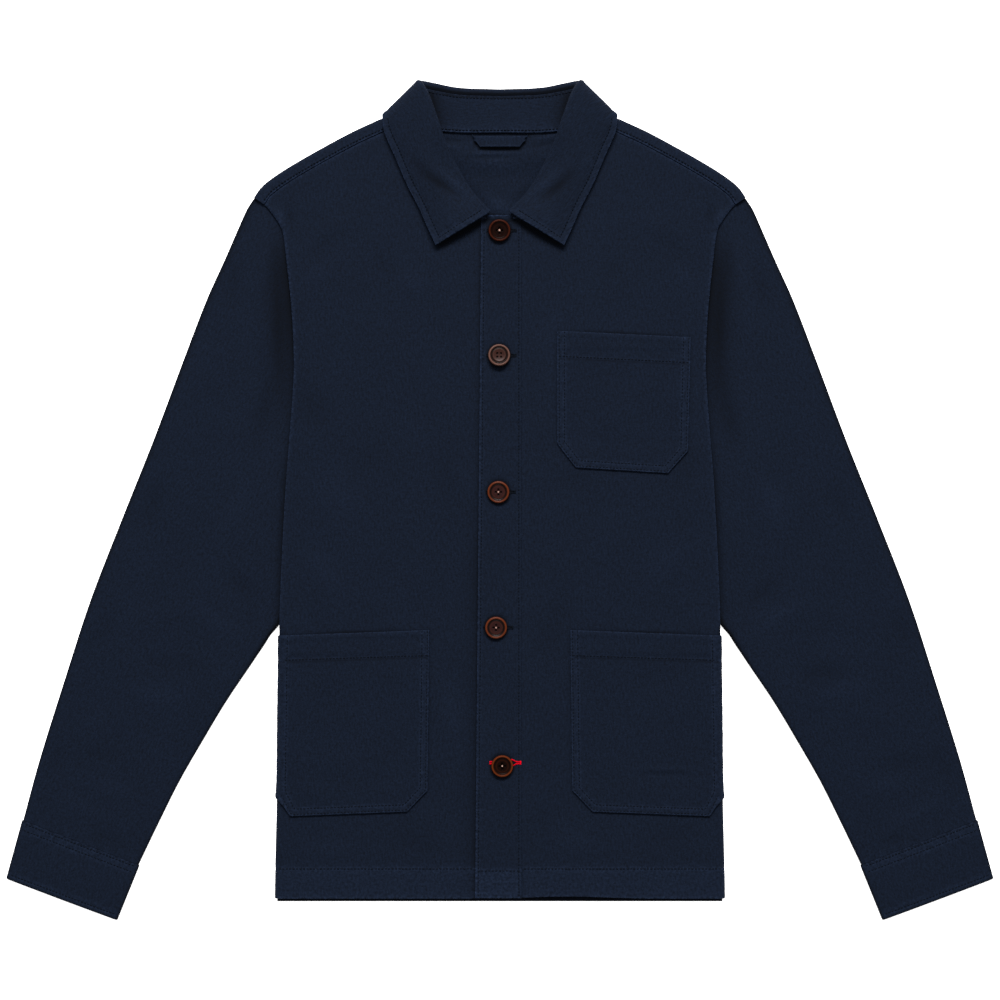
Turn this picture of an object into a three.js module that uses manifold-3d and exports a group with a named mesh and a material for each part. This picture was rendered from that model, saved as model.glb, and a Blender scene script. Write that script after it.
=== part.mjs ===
// A chore jacket of cotton twill, buttoned and laid flat on its back with both sleeves spread.
// Millimetres, +Z up. X runs across the jacket with the wearer's left at +X, Y runs from hem to collar,
// and the origin is on the floor under the middle of the jacket. Every cloth piece is a closed wall
// through a grid of points that is worked out from the sizes and tables below. In the tables, half is
// the distance from the jacket's centre line, and a point in brackets is [half, y] or [half, y, z].
import * as THREE from "three";
import Module from "manifold-3d";
import { mergeVertices } from "three/addons/utils/BufferGeometryUtils.js";

const wasm = await Module();
wasm.setup();

// Cloth thicknesses
const TWILL = 1.2; // one layer as it lies
const COLLAR_WALL = 1.8; // two layers and interlining
const CUFF_WALL = 1.7;
const BAND_WALL = 1.6; // the front band with its buttonholes
const TURNED_HEM = 0.6; // what a turned-up hem adds
const SEAM_GAP = 0.3; // between neighbouring pieces

// Body
const HEM_Y = -365;
const BACK_HEM_Y = -368.5;
const HEM_DEPTH = 25;
const HEM_EDGE = 1; // the hem's step spreads this far to both sides
const SIDE_ROWS = { from: -300, to: -30 }; // heights of a front's rows between its hem and the armhole
const FRONT_LEVEL = 4.6; // inner face of the fronts over the floor
const SIDE_ROLL = 6; // how far in from the side a front has risen to its level
const BACK_INSET = 1.6; // the back's edge is this far inside the fronts and the sleeves
const ARMHOLE = { foot: 18, lifted: 45, tucked: 75, untuck: 215, butted: 240 }; // heights of its stages
const ARMHOLE_START = 65; // degrees: how little of the side roll is left at the armhole
const SLEEVE_TUCK = 3.6; // how far the front's edge lies over the sleeve
const SPLIT_Y = 60; // below this height the rows of a front run straight across
const NECKLINE_CENTRE_Y = 261;
// The back lies on the collar's fall: raised within an ellipse, and fading out from inner to outer
const NECK_RAISE = { y: 351, across: 112, along: 30, inner: 1.15, outer: 1.9, height: 2.3 };
const SHOULDER_TOP = 6.9; // outer face where the back wraps over the shoulder
const SHOULDER_RADIUS = 3.4;
const SHOULDER_STRIP = 11.5; // the back reaches this far over the shoulder to the front

// Front opening
const BAND = { leftTop: -17.1, leftHem: -22.8, right: 20 };
const RIGHT_FRONT_REACH = 19.2; // the right front runs under the band
const UNDER_BAND = { dip: 1.2, width: 34 }; // the right front sinks towards the band that lies on it

// Half width of the body: the side up to the underarm, then the front's armhole edge to the shoulder.
const BODY_SIDE = [
  { y: -368.5, half: 207 },
  { y: -340, half: 206.6 },
  { y: -272, half: 205 },
  { y: -184, half: 203.8 },
  { y: -114, half: 202.6 },
  { y: -56, half: 200.4 },
  { y: 18, half: 196.4 },
  { y: 52, half: 193.7 },
  { y: 98, half: 190.3 },
  { y: 128, half: 189.1 },
  { y: 174, half: 191.2 },
  { y: 225, half: 196.4 },
  { y: 243, half: 198.7 },
  { y: 252.5, half: 201.9 },
  { y: 264.5, half: 209.3 },
  { y: 269.3, half: 214 },
];

// Outline of the shoulder as seen from above, from the side of the neck to the tip.
const SHOULDER = [
  { half: 86.5, y: 351.5 },
  { half: 107, y: 347.5 },
  { half: 118, y: 344.5 },
  { half: 134.8, y: 338.1 },
  { half: 165.1, y: 321.5 },
  { half: 193.7, y: 305 },
  { half: 210.2, y: 294 },
  { half: 219.5, y: 286 },
  { half: 225.6, y: 277.2 },
];
// Necklines of the back, from the centre out, and of the fronts, from the centre up to the shoulder.
const BACK_NECKLINE = [
  { half: 0, y: 340.9 },
  { half: 45, y: 341.6 },
  { half: 70, y: 344 },
];
const FRONT_NECKLINE = [
  { half: 33, y: 267 },
  { half: 49.5, y: 280 },
  { half: 63, y: 297 },
  { half: 72.8, y: 314 },
  { half: 78.5, y: 328 },
];

// Sleeve outlines as seen from above, from the cuff seam up.
const SLEEVE_OUTER = [
  { half: 437.4, y: -293.8 },
  { half: 422.7, y: -239.7 },
  { half: 399.7, y: -166.1 },
  { half: 375.8, y: -92.5 },
  { half: 347.3, y: -18.9 },
  { half: 317.9, y: 54.7 },
  { half: 290.3, y: 128.3 },
  { half: 269.1, y: 183.5 },
  { half: 252.5, y: 220.3 },
  { half: 239.7, y: 249.8 },
  { half: 232.3, y: 266.3 },
  { half: 226.3, y: 276.5 },
];
const SLEEVE_INNER = [
  { half: 331.4, y: -334.6 },
  { half: 312.3, y: -294.9 },
  { half: 293.9, y: -258.1 },
  { half: 272.8, y: -221.3 },
  { half: 250.7, y: -184.5 },
  { half: 225.9, y: -147.7 },
  { half: 209.5, y: -122 },
  { half: 204.3, y: -106 },
  { half: 201.6, y: -56 },
  { half: 197.2, y: 17 },
];
// Rings of the sleeve: where each meets the two outlines, and how high its middle lies.
const SLEEVE_RINGS = [
  { outerY: -293.8, innerY: -334.6, middle: 5.6 },
  { outerY: -255, innerY: -299, middle: 5.8 },
  { outerY: -212, innerY: -262, middle: 6.0 },
  { outerY: -168, innerY: -226, middle: 5.6 },
  { outerY: -128, innerY: -193, middle: 6.1 },
  { outerY: -90, innerY: -162, middle: 5.7 },
  { outerY: -50, innerY: -132, middle: 6.0 },
  { outerY: -10, innerY: -106, middle: 5.8 },
  { outerY: 35, innerY: -82, middle: 6.0 },
  { outerY: 80, innerY: -60, middle: 5.9 },
  { outerY: 122, innerY: -40, middle: 5.8 },
  { outerY: 162, innerY: -22, middle: 5.4 },
  { outerY: 200, innerY: -7, middle: 4.9 },
  { outerY: 236, innerY: 6, middle: 4.3 },
  { outerY: 258, innerY: 12, middle: 3.9 },
  { outerY: 276.5, innerY: 17, middle: 3.7 },
];
const HEAD_HEIGHTS = [262, 252, 242, 226, 200, 174, 150, 128, 98, 76, 60, 45, 30, 17];
const SLEEVE_FOLD_HEIGHT = 4.6; // a sleeve is this thick at its folded edges
// Half of a flattened tube's section at a folded edge: distance in from the edge, share of the height
const TUBE_EDGE = [
  { inset: 4, share: 1 },
  { inset: 1.2, share: 0.87 },
  { inset: 0, share: 0.5 },
  { inset: 1.2, share: 0.13 },
  { inset: 4, share: 0 },
];
const TUBE_SPANS = 7; // across the top and across the underside, between the folded edges
const CUFF_END = { outer: [453.1, -347.4], inner: [351, -385.7] };
const CUFF_SWELL = 1; // a cuff stands this much wider than its sleeve on each side
const CUFF_HEIGHT = { edge: 5, middle: 6.3 };
const CUFF_ROWS = 4;

// Sections of the collar, from the centre back to its front end. Each runs from the neck seam over the
// fold to the outer edge, through the middle of the cloth. lean is the way that the fall lies from the
// stand: -90 degrees under it, 0 outside it and 90 over it.
const COLLAR = [
  { seam: [0, 336.7, 4.8], fold: [0, 373.8, 2.9], edge: [0, 324.3, 0.9], roll: 2, lean: -90 },
  { seam: [36.3, 336.7, 4.8], fold: [36.3, 375.2, 2.9], edge: [40.9, 326.1, 0.9], roll: 2, lean: -90 },
  { seam: [63.9, 339.4, 4.8], fold: [59.3, 379.3, 3], edge: [75, 332.6, 0.9], roll: 2.1, lean: -86 },
  { seam: [77, 344, 4.9], fold: [70, 381.6, 3.6], edge: [93, 342.2, 0.95], roll: 2.3, lean: -65 },
  { seam: [81.4, 347.6, 5.4], fold: [74, 382.3, 4.5], edge: [104.5, 350.9, 1.6], roll: 2.4, lean: -35 },
  { seam: [82.6, 349, 6.5], fold: [75.4, 382.3, 6.7], edge: [107.9, 353.5, 4.6], roll: 2.5, lean: 0 },
  { seam: [82.4, 347.6, 7.8], fold: [74.4, 381.2, 9.4], edge: [108.4, 351.4, 7.9], roll: 2.6, lean: 38 },
  { seam: [81.6, 342, 8.6], fold: [71.6, 377.5, 11.2], edge: [107.8, 344, 9.1], roll: 2.8, lean: 68 },
  { seam: [79.8, 330, 8.6], fold: [66, 366.5, 11.7], edge: [104.6, 333, 8.9], roll: 3, lean: 84 },
  { seam: [75.6, 314.4, 8], fold: [59.3, 347.3, 11.5], edge: [96.6, 315.1, 8.4], roll: 3.2, lean: 90 },
  { seam: [66, 297.6, 7.7], fold: [51.6, 324.3, 11.2], edge: [86, 290.3, 8.2], roll: 3.2, lean: 90 },
  { seam: [52.5, 279.2, 7.6], fold: [40, 300.4, 10.9], edge: [74.5, 267.7, 8.4], roll: 3, lean: 90 },
  { seam: [35, 264.8, 7.8], fold: [26.2, 279.2, 10.7], edge: [65.8, 248, 9.3], roll: 2.6, lean: 90 },
  { seam: [12.6, 257, 8.2], fold: [9.8, 262.5, 10.4], edge: [58.8, 232.8, 10.6], roll: 2, lean: 90 },
];
const COLLAR_STEPS = 21; // sections from the centre back to each end
const FALL_SWELL = 1.3; // the fall bows up this much between its fold and its edge, on the front
const STAND_SHARE = 0.9; // the stand ends at this share of the way from the neck seam to the fold
const STAND_GAP = 0.6; // groove between the stand and the fall

// Patch pockets, from the mouth to the bottom: the inner and the outer end of each line across.
const LOWER_POCKET = {
  top: { inner: [64.6, -119.4], outer: [206, -124.4] },
  chamfer: { inner: [66.3, -266.3], outer: [206.6, -268.3] },
  bottom: { inner: [85, -285.7], outer: [192, -289.9] },
};
const CHEST_POCKET = {
  top: { inner: [52.5, 154.8], outer: [174.9, 149] },
  chamfer: { inner: [52.6, 51.3], outer: [172.4, 44.9] },
  bottom: { inner: [69.5, 29.6], outer: [154.1, 24.4] },
};
const POCKET_HEM = { depth: 23, step: 1.5, adds: 0.4 }; // the turned edge at a pocket's mouth
const POCKET_PLAIN = 0.66; // rows are even up to this share of the way from the chamfers to the mouth
const POCKET_ROLL = [0, 0.22, 0.53, 0.93]; // columns beside the outer edge, as shares of the side roll
const POCKET_EDGE_TURN = 22; // degrees up the side roll where a lower pocket's outer edge is sewn
const POCKET_SWELL = { middle: 0.5, foot: 0.35 }; // how far a pocket stands off the front

// Soft folds: a ridge of the given height along a line, fading out at both ends.
const FRONT_FOLDS = [
  { from: [-182, 236], to: [-112, 268], width: 10, height: 0.6 },
  { from: [-160, 180], to: [-60, 105], width: 26, height: 0.5 },
  { from: [-100, -5], to: [-60, -105], width: 24, height: 0.5 },
  { from: [182, 234], to: [112, 266], width: 10, height: 0.6 },
  { from: [50, -5], to: [150, -85], width: 24, height: 0.5 },
];
const SLEEVE_FOLDS = [
  { from: [225, 235], to: [212, 70], width: 7, height: 0.7 },
  { from: [245, 60], to: [330, -70], width: 17, height: 0.5 },
  { from: [265, -95], to: [365, -120], width: 13, height: 0.6 },
  { from: [300, -190], to: [400, -215], width: 14, height: 0.5 },
];

// Loop of turned cloth, sewn in under the collar stand
const LOOP = { endHalf: 25.8, footHalf: 18.4, seat: 336, top: 333, bottom: 323.6, wall: 1.2, lift: 0.8 };

// Buttons
const BUTTON = { radius: 10.1, height: 3.2, dish: 1, holeRadius: 0.9, holeOut: 1.9, sides: 20 };
const BUTTONS = [
  { x: -0.4, y: 246.8 },
  { x: -0.7, y: 132.3 },
  { x: -1.3, y: 7.2 },
  { x: -3.5, y: -117 },
  { x: 2.1, y: -243.8 },
];

const TWILL_FINISH = { color: 0x1b2537, roughness: 0.9, metalness: 0 };
const BUTTON_FINISH = { color: 0x4a2418, roughness: 0.45, metalness: 0 };

const mix = THREE.MathUtils.lerp;
const clamp = THREE.MathUtils.clamp;
const smooth = THREE.MathUtils.smoothstep;
const sin = (degrees) => Math.sin(THREE.MathUtils.degToRad(degrees));
const cos = (degrees) => Math.cos(THREE.MathUtils.degToRad(degrees));
const mixPoint = (a, b, share) => a.map((value, axis) => mix(value, b[axis], share));
const steps = (count, from = 0, to = 1) =>
  Array.from({ length: count }, (_, i) => mix(from, to, i / (count - 1)));

// A smooth value between a table's rows: cubic, with each row's slope taken from its neighbours.
function between(xs, values, x) {
  const last = xs.length - 1;
  let i = 0;
  while (i < last - 1 && x > xs[i + 1]) i++;
  const slope = (k) => {
    const a = Math.max(0, k - 1);
    const b = Math.min(last, k + 1);
    return (values[b] - values[a]) / (xs[b] - xs[a]);
  };
  const span = xs[i + 1] - xs[i];
  const t = clamp((x - xs[i]) / span, 0, 1);
  const rise = t * t * (3 - 2 * t);
  const leave = t * (1 - t) * (1 - t) * span * slope(i);
  const arrive = t * t * (t - 1) * span * slope(i + 1);
  return mix(values[i], values[i + 1], rise) + leave + arrive;
}

// Reads one column of a table as a smooth function of another, rising, column.
function column(table, by, name) {
  const xs = table.map((row) => row[by]);
  const values = table.map((row) => row[name]);
  return (x) => between(xs, values, x);
}

// The point a share of the way along an outline, as [half, y].
function along(outline) {
  const lengths = [0];
  outline.slice(1).forEach((row, i) => {
    lengths.push(lengths[i] + Math.hypot(row.half - outline[i].half, row.y - outline[i].y));
  });
  const axes = ["half", "y"].map((name) => outline.map((row) => row[name]));
  return (share) => axes.map((values) => between(lengths, values, share * lengths.at(-1)));
}

// A patch spanned by four edges: the sum of the two ruled surfaces less the one through the corners.
function patch({ bottom, top, start, end }) {
  return (u, v) =>
    [0, 1].map((axis) => {
      const ruled = mix(bottom(u)[axis], top(u)[axis], v) + mix(start(v)[axis], end(v)[axis], u);
      const low = mix(bottom(0)[axis], bottom(1)[axis], u);
      const high = mix(top(0)[axis], top(1)[axis], u);
      return ruled - mix(low, high, v);
    });
}

// A closed wall through a grid of points. It fills from `below` to `above` along the grid's normal,
// which is across times up. `keep` leaves cells out, and `ring` joins the last column to the first.
function wall(grid, { above, below = 0, keep = () => true, ring = false }) {
  const rows = grid.length;
  const columns = grid[0].length;
  const wrap = (j) => (ring ? (j + columns) % columns : clamp(j, 0, columns - 1));
  const row = (i) => clamp(i, 0, rows - 1);
  const depth = (side, i, j) => (typeof side === "function" ? side(i, j) : side);
  const positions = [];
  for (const side of [above, below])
    for (let i = 0; i < rows; i++)
      for (let j = 0; j < columns; j++) {
        const across = new THREE.Vector3().subVectors(grid[i][wrap(j + 1)], grid[i][wrap(j - 1)]);
        const up = new THREE.Vector3().subVectors(grid[row(i + 1)][j], grid[row(i - 1)][j]);
        const normal = across.cross(up).normalize();
        const point = grid[i][j].clone().addScaledVector(normal, depth(side, i, j));
        positions.push(point.x, point.y, Math.max(0, point.z));
      }
  const at = (i, j) => i * columns + wrap(j);
  const other = rows * columns;
  const index = [];
  const rim = new Map();
  for (let i = 0; i < rows - 1; i++)
    for (let j = 0; j < (ring ? columns : columns - 1); j++) {
      if (!keep(i, j)) continue;
      const cell = [at(i, j), at(i, j + 1), at(i + 1, j + 1), at(i + 1, j)];
      const [a, b, c, d] = cell;
      index.push(a, b, c, a, c, d);
      index.push(a + other, c + other, b + other, a + other, d + other, c + other);
      cell.forEach((from, k) => {
        const to = cell[(k + 1) % 4];
        if (!rim.delete(`${to}>${from}`)) rim.set(`${from}>${to}`, [from, to]);
      });
    }
  for (const [from, to] of rim.values())
    index.push(to, from, from + other, to, from + other, to + other);
  const geometry = new THREE.BufferGeometry();
  geometry.setAttribute("position", new THREE.Float32BufferAttribute(positions, 3));
  geometry.setIndex(index);
  return geometry;
}

// Puts a grid of [half, y, z] on one side of the jacket, facing up as it does on the left.
const onSide = (side, grid) =>
  grid.map((row) => {
    const points = row.map(([half, y, z]) => new THREE.Vector3(side * half, y, z));
    return side > 0 ? points : points.reverse();
  });

function foldHeight(folds, x, y) {
  let height = 0;
  for (const { from, to, width, height: top } of folds) {
    const [dx, dy] = [to[0] - from[0], to[1] - from[1]];
    const length = Math.hypot(dx, dy);
    const share = ((x - from[0]) * dx + (y - from[1]) * dy) / length ** 2;
    const off = ((x - from[0]) * dy - (y - from[1]) * dx) / length;
    if (share > 0 && share < 1)
      height += top * Math.sin(Math.PI * share) ** 2 * Math.exp(-((off / width) ** 2));
  }
  return height;
}

const bodyHalf = column(BODY_SIDE, "y", "half");
const shoulderAt = along(SHOULDER);

// A point inside the shoulder's outline: a share of the way from neck to tip, moved in at right angles.
function insideShoulder(share, inset) {
  const [half, y] = shoulderAt(share);
  const before = shoulderAt(Math.max(0, share - 0.01));
  const after = shoulderAt(Math.min(1, share + 0.01));
  const length = Math.hypot(after[0] - before[0], after[1] - before[1]);
  const inward = [(after[1] - before[1]) / length, -(after[0] - before[0]) / length];
  return [half + inward[0] * inset, y + inward[1] * inset];
}

function neckRaise(half, y) {
  const distance = Math.hypot(half / NECK_RAISE.across, (y - NECK_RAISE.y) / NECK_RAISE.along);
  return NECK_RAISE.height * (1 - smooth(distance, NECK_RAISE.inner, NECK_RAISE.outer));
}

// Where the sleeve ends at the armhole: beside the front's edge, and under it along the middle.
function sleeveEndHalf(y) {
  const lifted = smooth(y, ARMHOLE.lifted, ARMHOLE.tucked);
  const tuck = lifted * (1 - smooth(y, ARMHOLE.untuck, ARMHOLE.butted));
  return bodyHalf(y) + 2 * SEAM_GAP - SLEEVE_TUCK * tuck;
}

// Height of a front's inner face. The right one sinks towards the band that lies on it.
function frontLevel(side, half, y) {
  const nearBand = 1 - smooth(half, -BAND.leftTop, -BAND.leftTop + UNDER_BAND.width);
  const dip = side < 0 ? UNDER_BAND.dip * nearBand : 0;
  return FRONT_LEVEL + foldHeight(FRONT_FOLDS, side * half, y) - dip;
}

// The side of a front rolls down, to the floor below the underarm and hardly at all at the armhole.
const rollStart = (y) => ARMHOLE_START * smooth(y, ARMHOLE.foot, ARMHOLE.lifted);
const innerEdge = (y) => bodyHalf(y) - TWILL * cos(rollStart(y));
const rolledIn = (y, turn) => innerEdge(y) - SIDE_ROLL * (cos(rollStart(y)) - cos(turn));

// Inner face of a front at a place seen from above
function frontPoint(side, half, y) {
  const inset = Math.max(0, innerEdge(y) - half) / SIDE_ROLL;
  const turn = Math.acos(clamp(cos(rollStart(y)) - inset, 0, 1));
  return [half, y, frontLevel(side, half, y) * Math.sin(turn)];
}

function frontPanel(side) {
  const centre = side < 0 ? -RIGHT_FRONT_REACH : BAND.right + SEAM_GAP;
  const flatColumns = side < 0 ? 8 : 7;
  const rollTurns = (y) => steps(5, rollStart(y), 90);
  const straightRow = (y) => {
    const roll = rollTurns(y).map((turn) => rolledIn(y, turn));
    return [...roll, ...steps(flatColumns + 1, roll.at(-1), centre).slice(1)].map((half) => [half, y]);
  };
  const hemTop = HEM_Y + HEM_DEPTH;
  const lower = [
    ...[HEM_Y, hemTop - HEM_EDGE, hemTop + HEM_EDGE],
    ...steps(7, SIDE_ROWS.from, SIDE_ROWS.to),
    ...steps(4, ARMHOLE.foot, ARMHOLE.lifted),
    SPLIT_Y,
  ].map(straightRow);
  const split = lower.at(-1);
  const side0 = split[0][0];
  const shares = split.map(([half]) => (side0 - half) / (side0 - centre));
  const seam = (share) => insideShoulder(share, SHOULDER_STRIP + 2 * SEAM_GAP);
  const [neckHalf, neckY] = seam(0);
  const neckline = along([
    { half: centre, y: NECKLINE_CENTRE_Y },
    ...FRONT_NECKLINE,
    { half: neckHalf, y: neckY },
  ]);
  const corner = 0.6; // share of the upper part's rows that meet the straight edge below the neckline
  const opening = (v) =>
    v <= corner
      ? [centre, mix(SPLIT_Y, NECKLINE_CENTRE_Y, v / corner)]
      : neckline((v - corner) / (1 - corner));
  const armhole = (v) => {
    const y = mix(SPLIT_Y, BODY_SIDE.at(-1).y, v);
    return mixPoint([innerEdge(y), y], seam(1), smooth(v, 0.9, 1));
  };
  const plan = patch({
    bottom: (u) => [mix(side0, centre, u), SPLIT_Y],
    top: (u) => seam(1 - u),
    start: armhole,
    end: opening,
  });
  const upperRows = [...steps(9, 0, corner), ...steps(7, corner, 1).slice(1)].slice(1);
  const upper = upperRows.map((v) => shares.map((u) => plan(u, v)));
  const rises = rollTurns(SPLIT_Y).map(sin);
  const grid = [
    ...lower.map((row) => row.map(([half, y]) => frontPoint(side, half, y))),
    ...upper.map((row) =>
      row.map(([half, y], j) => [half, y, frontLevel(side, half, y) * (rises[j] ?? 1)]),
    ),
  ];
  const hemRows = 2;
  // Columns run inwards from the side, so they are turned round to face up.
  const facing = onSide(side, grid.map((row) => [...row].reverse()));
  return wall(facing, { above: TWILL, below: (i) => (i < hemRows ? -TURNED_HEM : 0) });
}

function backPanel() {
  const neckColumns = 4;
  const shoulderColumns = 7;
  const neckShare = 0.42;
  const neckCorner = insideShoulder(0, SHOULDER_RADIUS);
  const tip = insideShoulder(1, SHOULDER_RADIUS);
  const neckline = along([...BACK_NECKLINE, { half: neckCorner[0], y: neckCorner[1] }]);
  const shoulderShare = (u) => Math.max(0, (u - neckShare) / (1 - neckShare));
  const sideHalf = (y) => {
    const beside = bodyHalf(y) - TWILL - BACK_INSET;
    return mix(beside, sleeveEndHalf(y) - BACK_INSET, smooth(y, ARMHOLE.foot, ARMHOLE.lifted));
  };
  const sideHeights = [BACK_HEM_Y, -340, -184, -56, 18, 45, 75, 98, 128, 174, 215, 240, 255, 264];
  const side = along([
    ...sideHeights.map((y) => ({ half: sideHalf(y), y })),
    { half: tip[0], y: tip[1] },
  ]);
  const topEdge = (u) =>
    u <= neckShare ? neckline(u / neckShare) : insideShoulder(shoulderShare(u), SHOULDER_RADIUS);
  const plan = patch({
    bottom: (u) => [u * sideHalf(BACK_HEM_Y), BACK_HEM_Y],
    top: topEdge,
    start: (v) => [0, mix(BACK_HEM_Y, BACK_NECKLINE[0].y, v)],
    end: side,
  });
  const shares = [
    ...steps(neckColumns + 1, 0, neckShare),
    ...steps(shoulderColumns + 1, neckShare, 1).slice(1),
  ];
  const hemRows = [0, 0.034, 0.038];
  const sideRows = [0.15, 0.3, 0.45, 0.57];
  const armholeRows = steps(8, 0.61, 0.9);
  const neckRows = [0.935, 0.952, 0.966, 1];
  const flat = [...hemRows, ...sideRows, ...armholeRows, ...neckRows].map((v) =>
    shares.map((u) => {
      const [half, y] = plan(u, v);
      return [half, y, neckRaise(half, y)];
    }),
  );
  // Up over the shoulder and back down the front to the shoulder seam
  const wrap = [-55, -20, 20, 55, 90].map((turn) => ({
    inset: SHOULDER_RADIUS * (1 - cos(turn)),
    rise: (1 + sin(turn)) / 2,
  }));
  wrap.push({ inset: SHOULDER_STRIP, rise: 0.94 });
  const over = wrap.map(({ inset, rise }) =>
    shares.map((u) => {
      const [half, y] = insideShoulder(shoulderShare(u), inset);
      const foot = insideShoulder(shoulderShare(u), SHOULDER_RADIUS);
      const shift = u < neckShare ? neckCorner[0] * (1 - u / neckShare) : 0;
      return [half - shift, y, mix(neckRaise(...foot), SHOULDER_TOP, rise)];
    }),
  );
  const grid = [...flat, ...over].map((row) => [
    ...row.slice(1).reverse().map(([half, y, z]) => new THREE.Vector3(-half, y, z)),
    ...row.map(([half, y, z]) => new THREE.Vector3(half, y, z)),
  ]);
  const centreColumn = shares.length - 1;
  const isShoulder = (j) => Math.abs(j + 0.5 - centreColumn) > neckColumns;
  return wall(grid, {
    above: (i) => TWILL + (i < 2 ? TURNED_HEM : 0),
    keep: (i, j) => i < flat.length - 1 || isShoulder(j),
  });
}

// A flattened tube over a plan, from its outer to its inner folded edge. rows gives, for each ring, its
// share of the way up, its height at the edges and in the middle, and the folds that cross it.
function tube(plan, rows, wallDepth) {
  const spans = steps(TUBE_SPANS + 1).slice(1, -1);
  const ring = ({ v, edge, middle, folds }) => {
    const [outer, inner] = [plan(0, v), plan(1, v)];
    const width = Math.hypot(outer[0] - inner[0], outer[1] - inner[1]);
    const place = (u, share) => {
      const [half, y] = plan(u, v);
      const crown = Math.sin(Math.PI * clamp(u, 0, 1)) ** 0.7;
      return new THREE.Vector3(half, y, share * (mix(edge, middle, crown) + foldHeight(folds, half, y)));
    };
    const inset = TUBE_EDGE[0].inset / width;
    return [
      ...TUBE_EDGE.map((row) => place(row.inset / width, row.share)),
      ...spans.map((u) => place(mix(inset, 1 - inset, u), 0)),
      ...[...TUBE_EDGE].reverse().map((row) => place(1 - row.inset / width, row.share)),
      ...spans.map((u) => place(mix(1 - inset, inset, u), 1)),
    ];
  };
  return wall(rows.map(ring), { above: 0, below: -wallDepth, ring: true });
}

// Turns a geometry of the left side into the right side's.
function mirrored(geometry) {
  const copy = geometry.clone().scale(-1, 1, 1);
  const index = copy.getIndex().array;
  for (let i = 0; i < index.length; i += 3) [index[i], index[i + 1]] = [index[i + 1], index[i]];
  return copy;
}

function sleeve() {
  const outerAt = column(SLEEVE_OUTER, "y", "half");
  const innerAt = column(SLEEVE_INNER, "y", "half");
  const ringShares = SLEEVE_RINGS.map((_, i) => i / (SLEEVE_RINGS.length - 1));
  const ringValue = (name, v) => between(ringShares, SLEEVE_RINGS.map((ring) => ring[name]), v);
  const outer = (v) => [outerAt(ringValue("outerY", v)), ringValue("outerY", v)];
  const inner = (v) => [innerAt(ringValue("innerY", v)), ringValue("innerY", v)];
  const head = along([
    { half: 226.3, y: 276.5 },
    { half: 217.2, y: 270.4 },
    ...HEAD_HEIGHTS.map((y) => ({ half: sleeveEndHalf(y), y })),
  ]);
  const plan = patch({
    bottom: (u) => mixPoint(outer(0), inner(0), u),
    top: head,
    start: outer,
    end: inner,
  });
  const rows = steps(SLEEVE_RINGS.length + 3).map((v) => {
    const middle = ringValue("middle", v);
    return { v, edge: Math.min(SLEEVE_FOLD_HEIGHT, middle), middle, folds: SLEEVE_FOLDS };
  });
  return tube(plan, rows, TWILL);
}

function cuff() {
  const outer = [SLEEVE_OUTER[0].half, SLEEVE_OUTER[0].y];
  const inner = [SLEEVE_INNER[0].half, SLEEVE_INNER[0].y];
  const unit = (from, to) => new THREE.Vector2(to[0] - from[0], to[1] - from[1]).normalize();
  const across = unit(outer, inner);
  const down = unit(outer, CUFF_END.outer);
  const seamEnd = ([half, y], out) => [
    half + across.x * out + down.x * SEAM_GAP,
    y + across.y * out + down.y * SEAM_GAP,
  ];
  const seam = { outer: seamEnd(outer, -CUFF_SWELL), inner: seamEnd(inner, CUFF_SWELL) };
  const plan = (u, v) =>
    mixPoint(mixPoint(CUFF_END.outer, CUFF_END.inner, u), mixPoint(seam.outer, seam.inner, u), v);
  const rows = steps(CUFF_ROWS).map((v) => ({ v, ...CUFF_HEIGHT, folds: [] }));
  return tube(plan, rows, CUFF_WALL);
}

// One section of the collar at a place between the table's rows, as points through the cloth's middle.
function collarSection(share) {
  const places = COLLAR.map((_, i) => i / (COLLAR.length - 1));
  const read = (pick) => between(places, COLLAR.map(pick), share);
  const point = (name) => new THREE.Vector3(...[0, 1, 2].map((axis) => read((row) => row[name][axis])));
  const [seam, fold, edge] = ["seam", "fold", "edge"].map(point);
  const roll = read((row) => row.roll);
  const lean = read((row) => row.lean);
  const rise = new THREE.Vector3().subVectors(fold, seam).normalize();
  const out = new THREE.Vector3(rise.y, -rise.x, 0).normalize();
  const over = new THREE.Vector3(0, 0, sin(lean)).addScaledVector(out, cos(lean)).normalize();
  const standTop = fold.clone().addScaledVector(over, -roll);
  const arc = steps(7, -90, 90).map((turn) =>
    fold.clone().addScaledVector(over, roll * sin(turn)).addScaledVector(rise, roll * cos(turn)),
  );
  const swell = FALL_SWELL * smooth(lean, 0, 90);
  const fall = steps(6).slice(1).map((t) => {
    const place = new THREE.Vector3().lerpVectors(arc.at(-1), edge, t);
    place.z += swell * sin(180 * t);
    return place;
  });
  const stand = (t) => new THREE.Vector3().lerpVectors(seam, standTop, t);
  const fallStart = STAND_SHARE + STAND_GAP / seam.distanceTo(standTop);
  return { stand: steps(3, 0, STAND_SHARE).map(stand), fall: [stand(fallStart), ...arc, ...fall] };
}

function collarPiece(piece) {
  const half = steps(COLLAR_STEPS).map((share) => collarSection(share)[piece]);
  const otherHalf = half.slice(1).map((row) => row.map((p) => new THREE.Vector3(-p.x, p.y, p.z)));
  const rows = [...otherHalf.reverse(), ...half];
  return wall(rows, { above: COLLAR_WALL / 2, below: -COLLAR_WALL / 2 });
}

function frontBand() {
  const rows = steps(17, HEM_Y, NECKLINE_CENTRE_Y).map((y) => {
    const left = mix(BAND.leftHem, BAND.leftTop, (y - HEM_Y) / (NECKLINE_CENTRE_Y - HEM_Y));
    return steps(4, left, BAND.right).map((x) => new THREE.Vector3(x, y, frontPoint(-1, -x, y)[2]));
  });
  const bottom = TWILL + SEAM_GAP;
  return wall(rows, { above: bottom + BAND_WALL, below: bottom });
}

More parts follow.
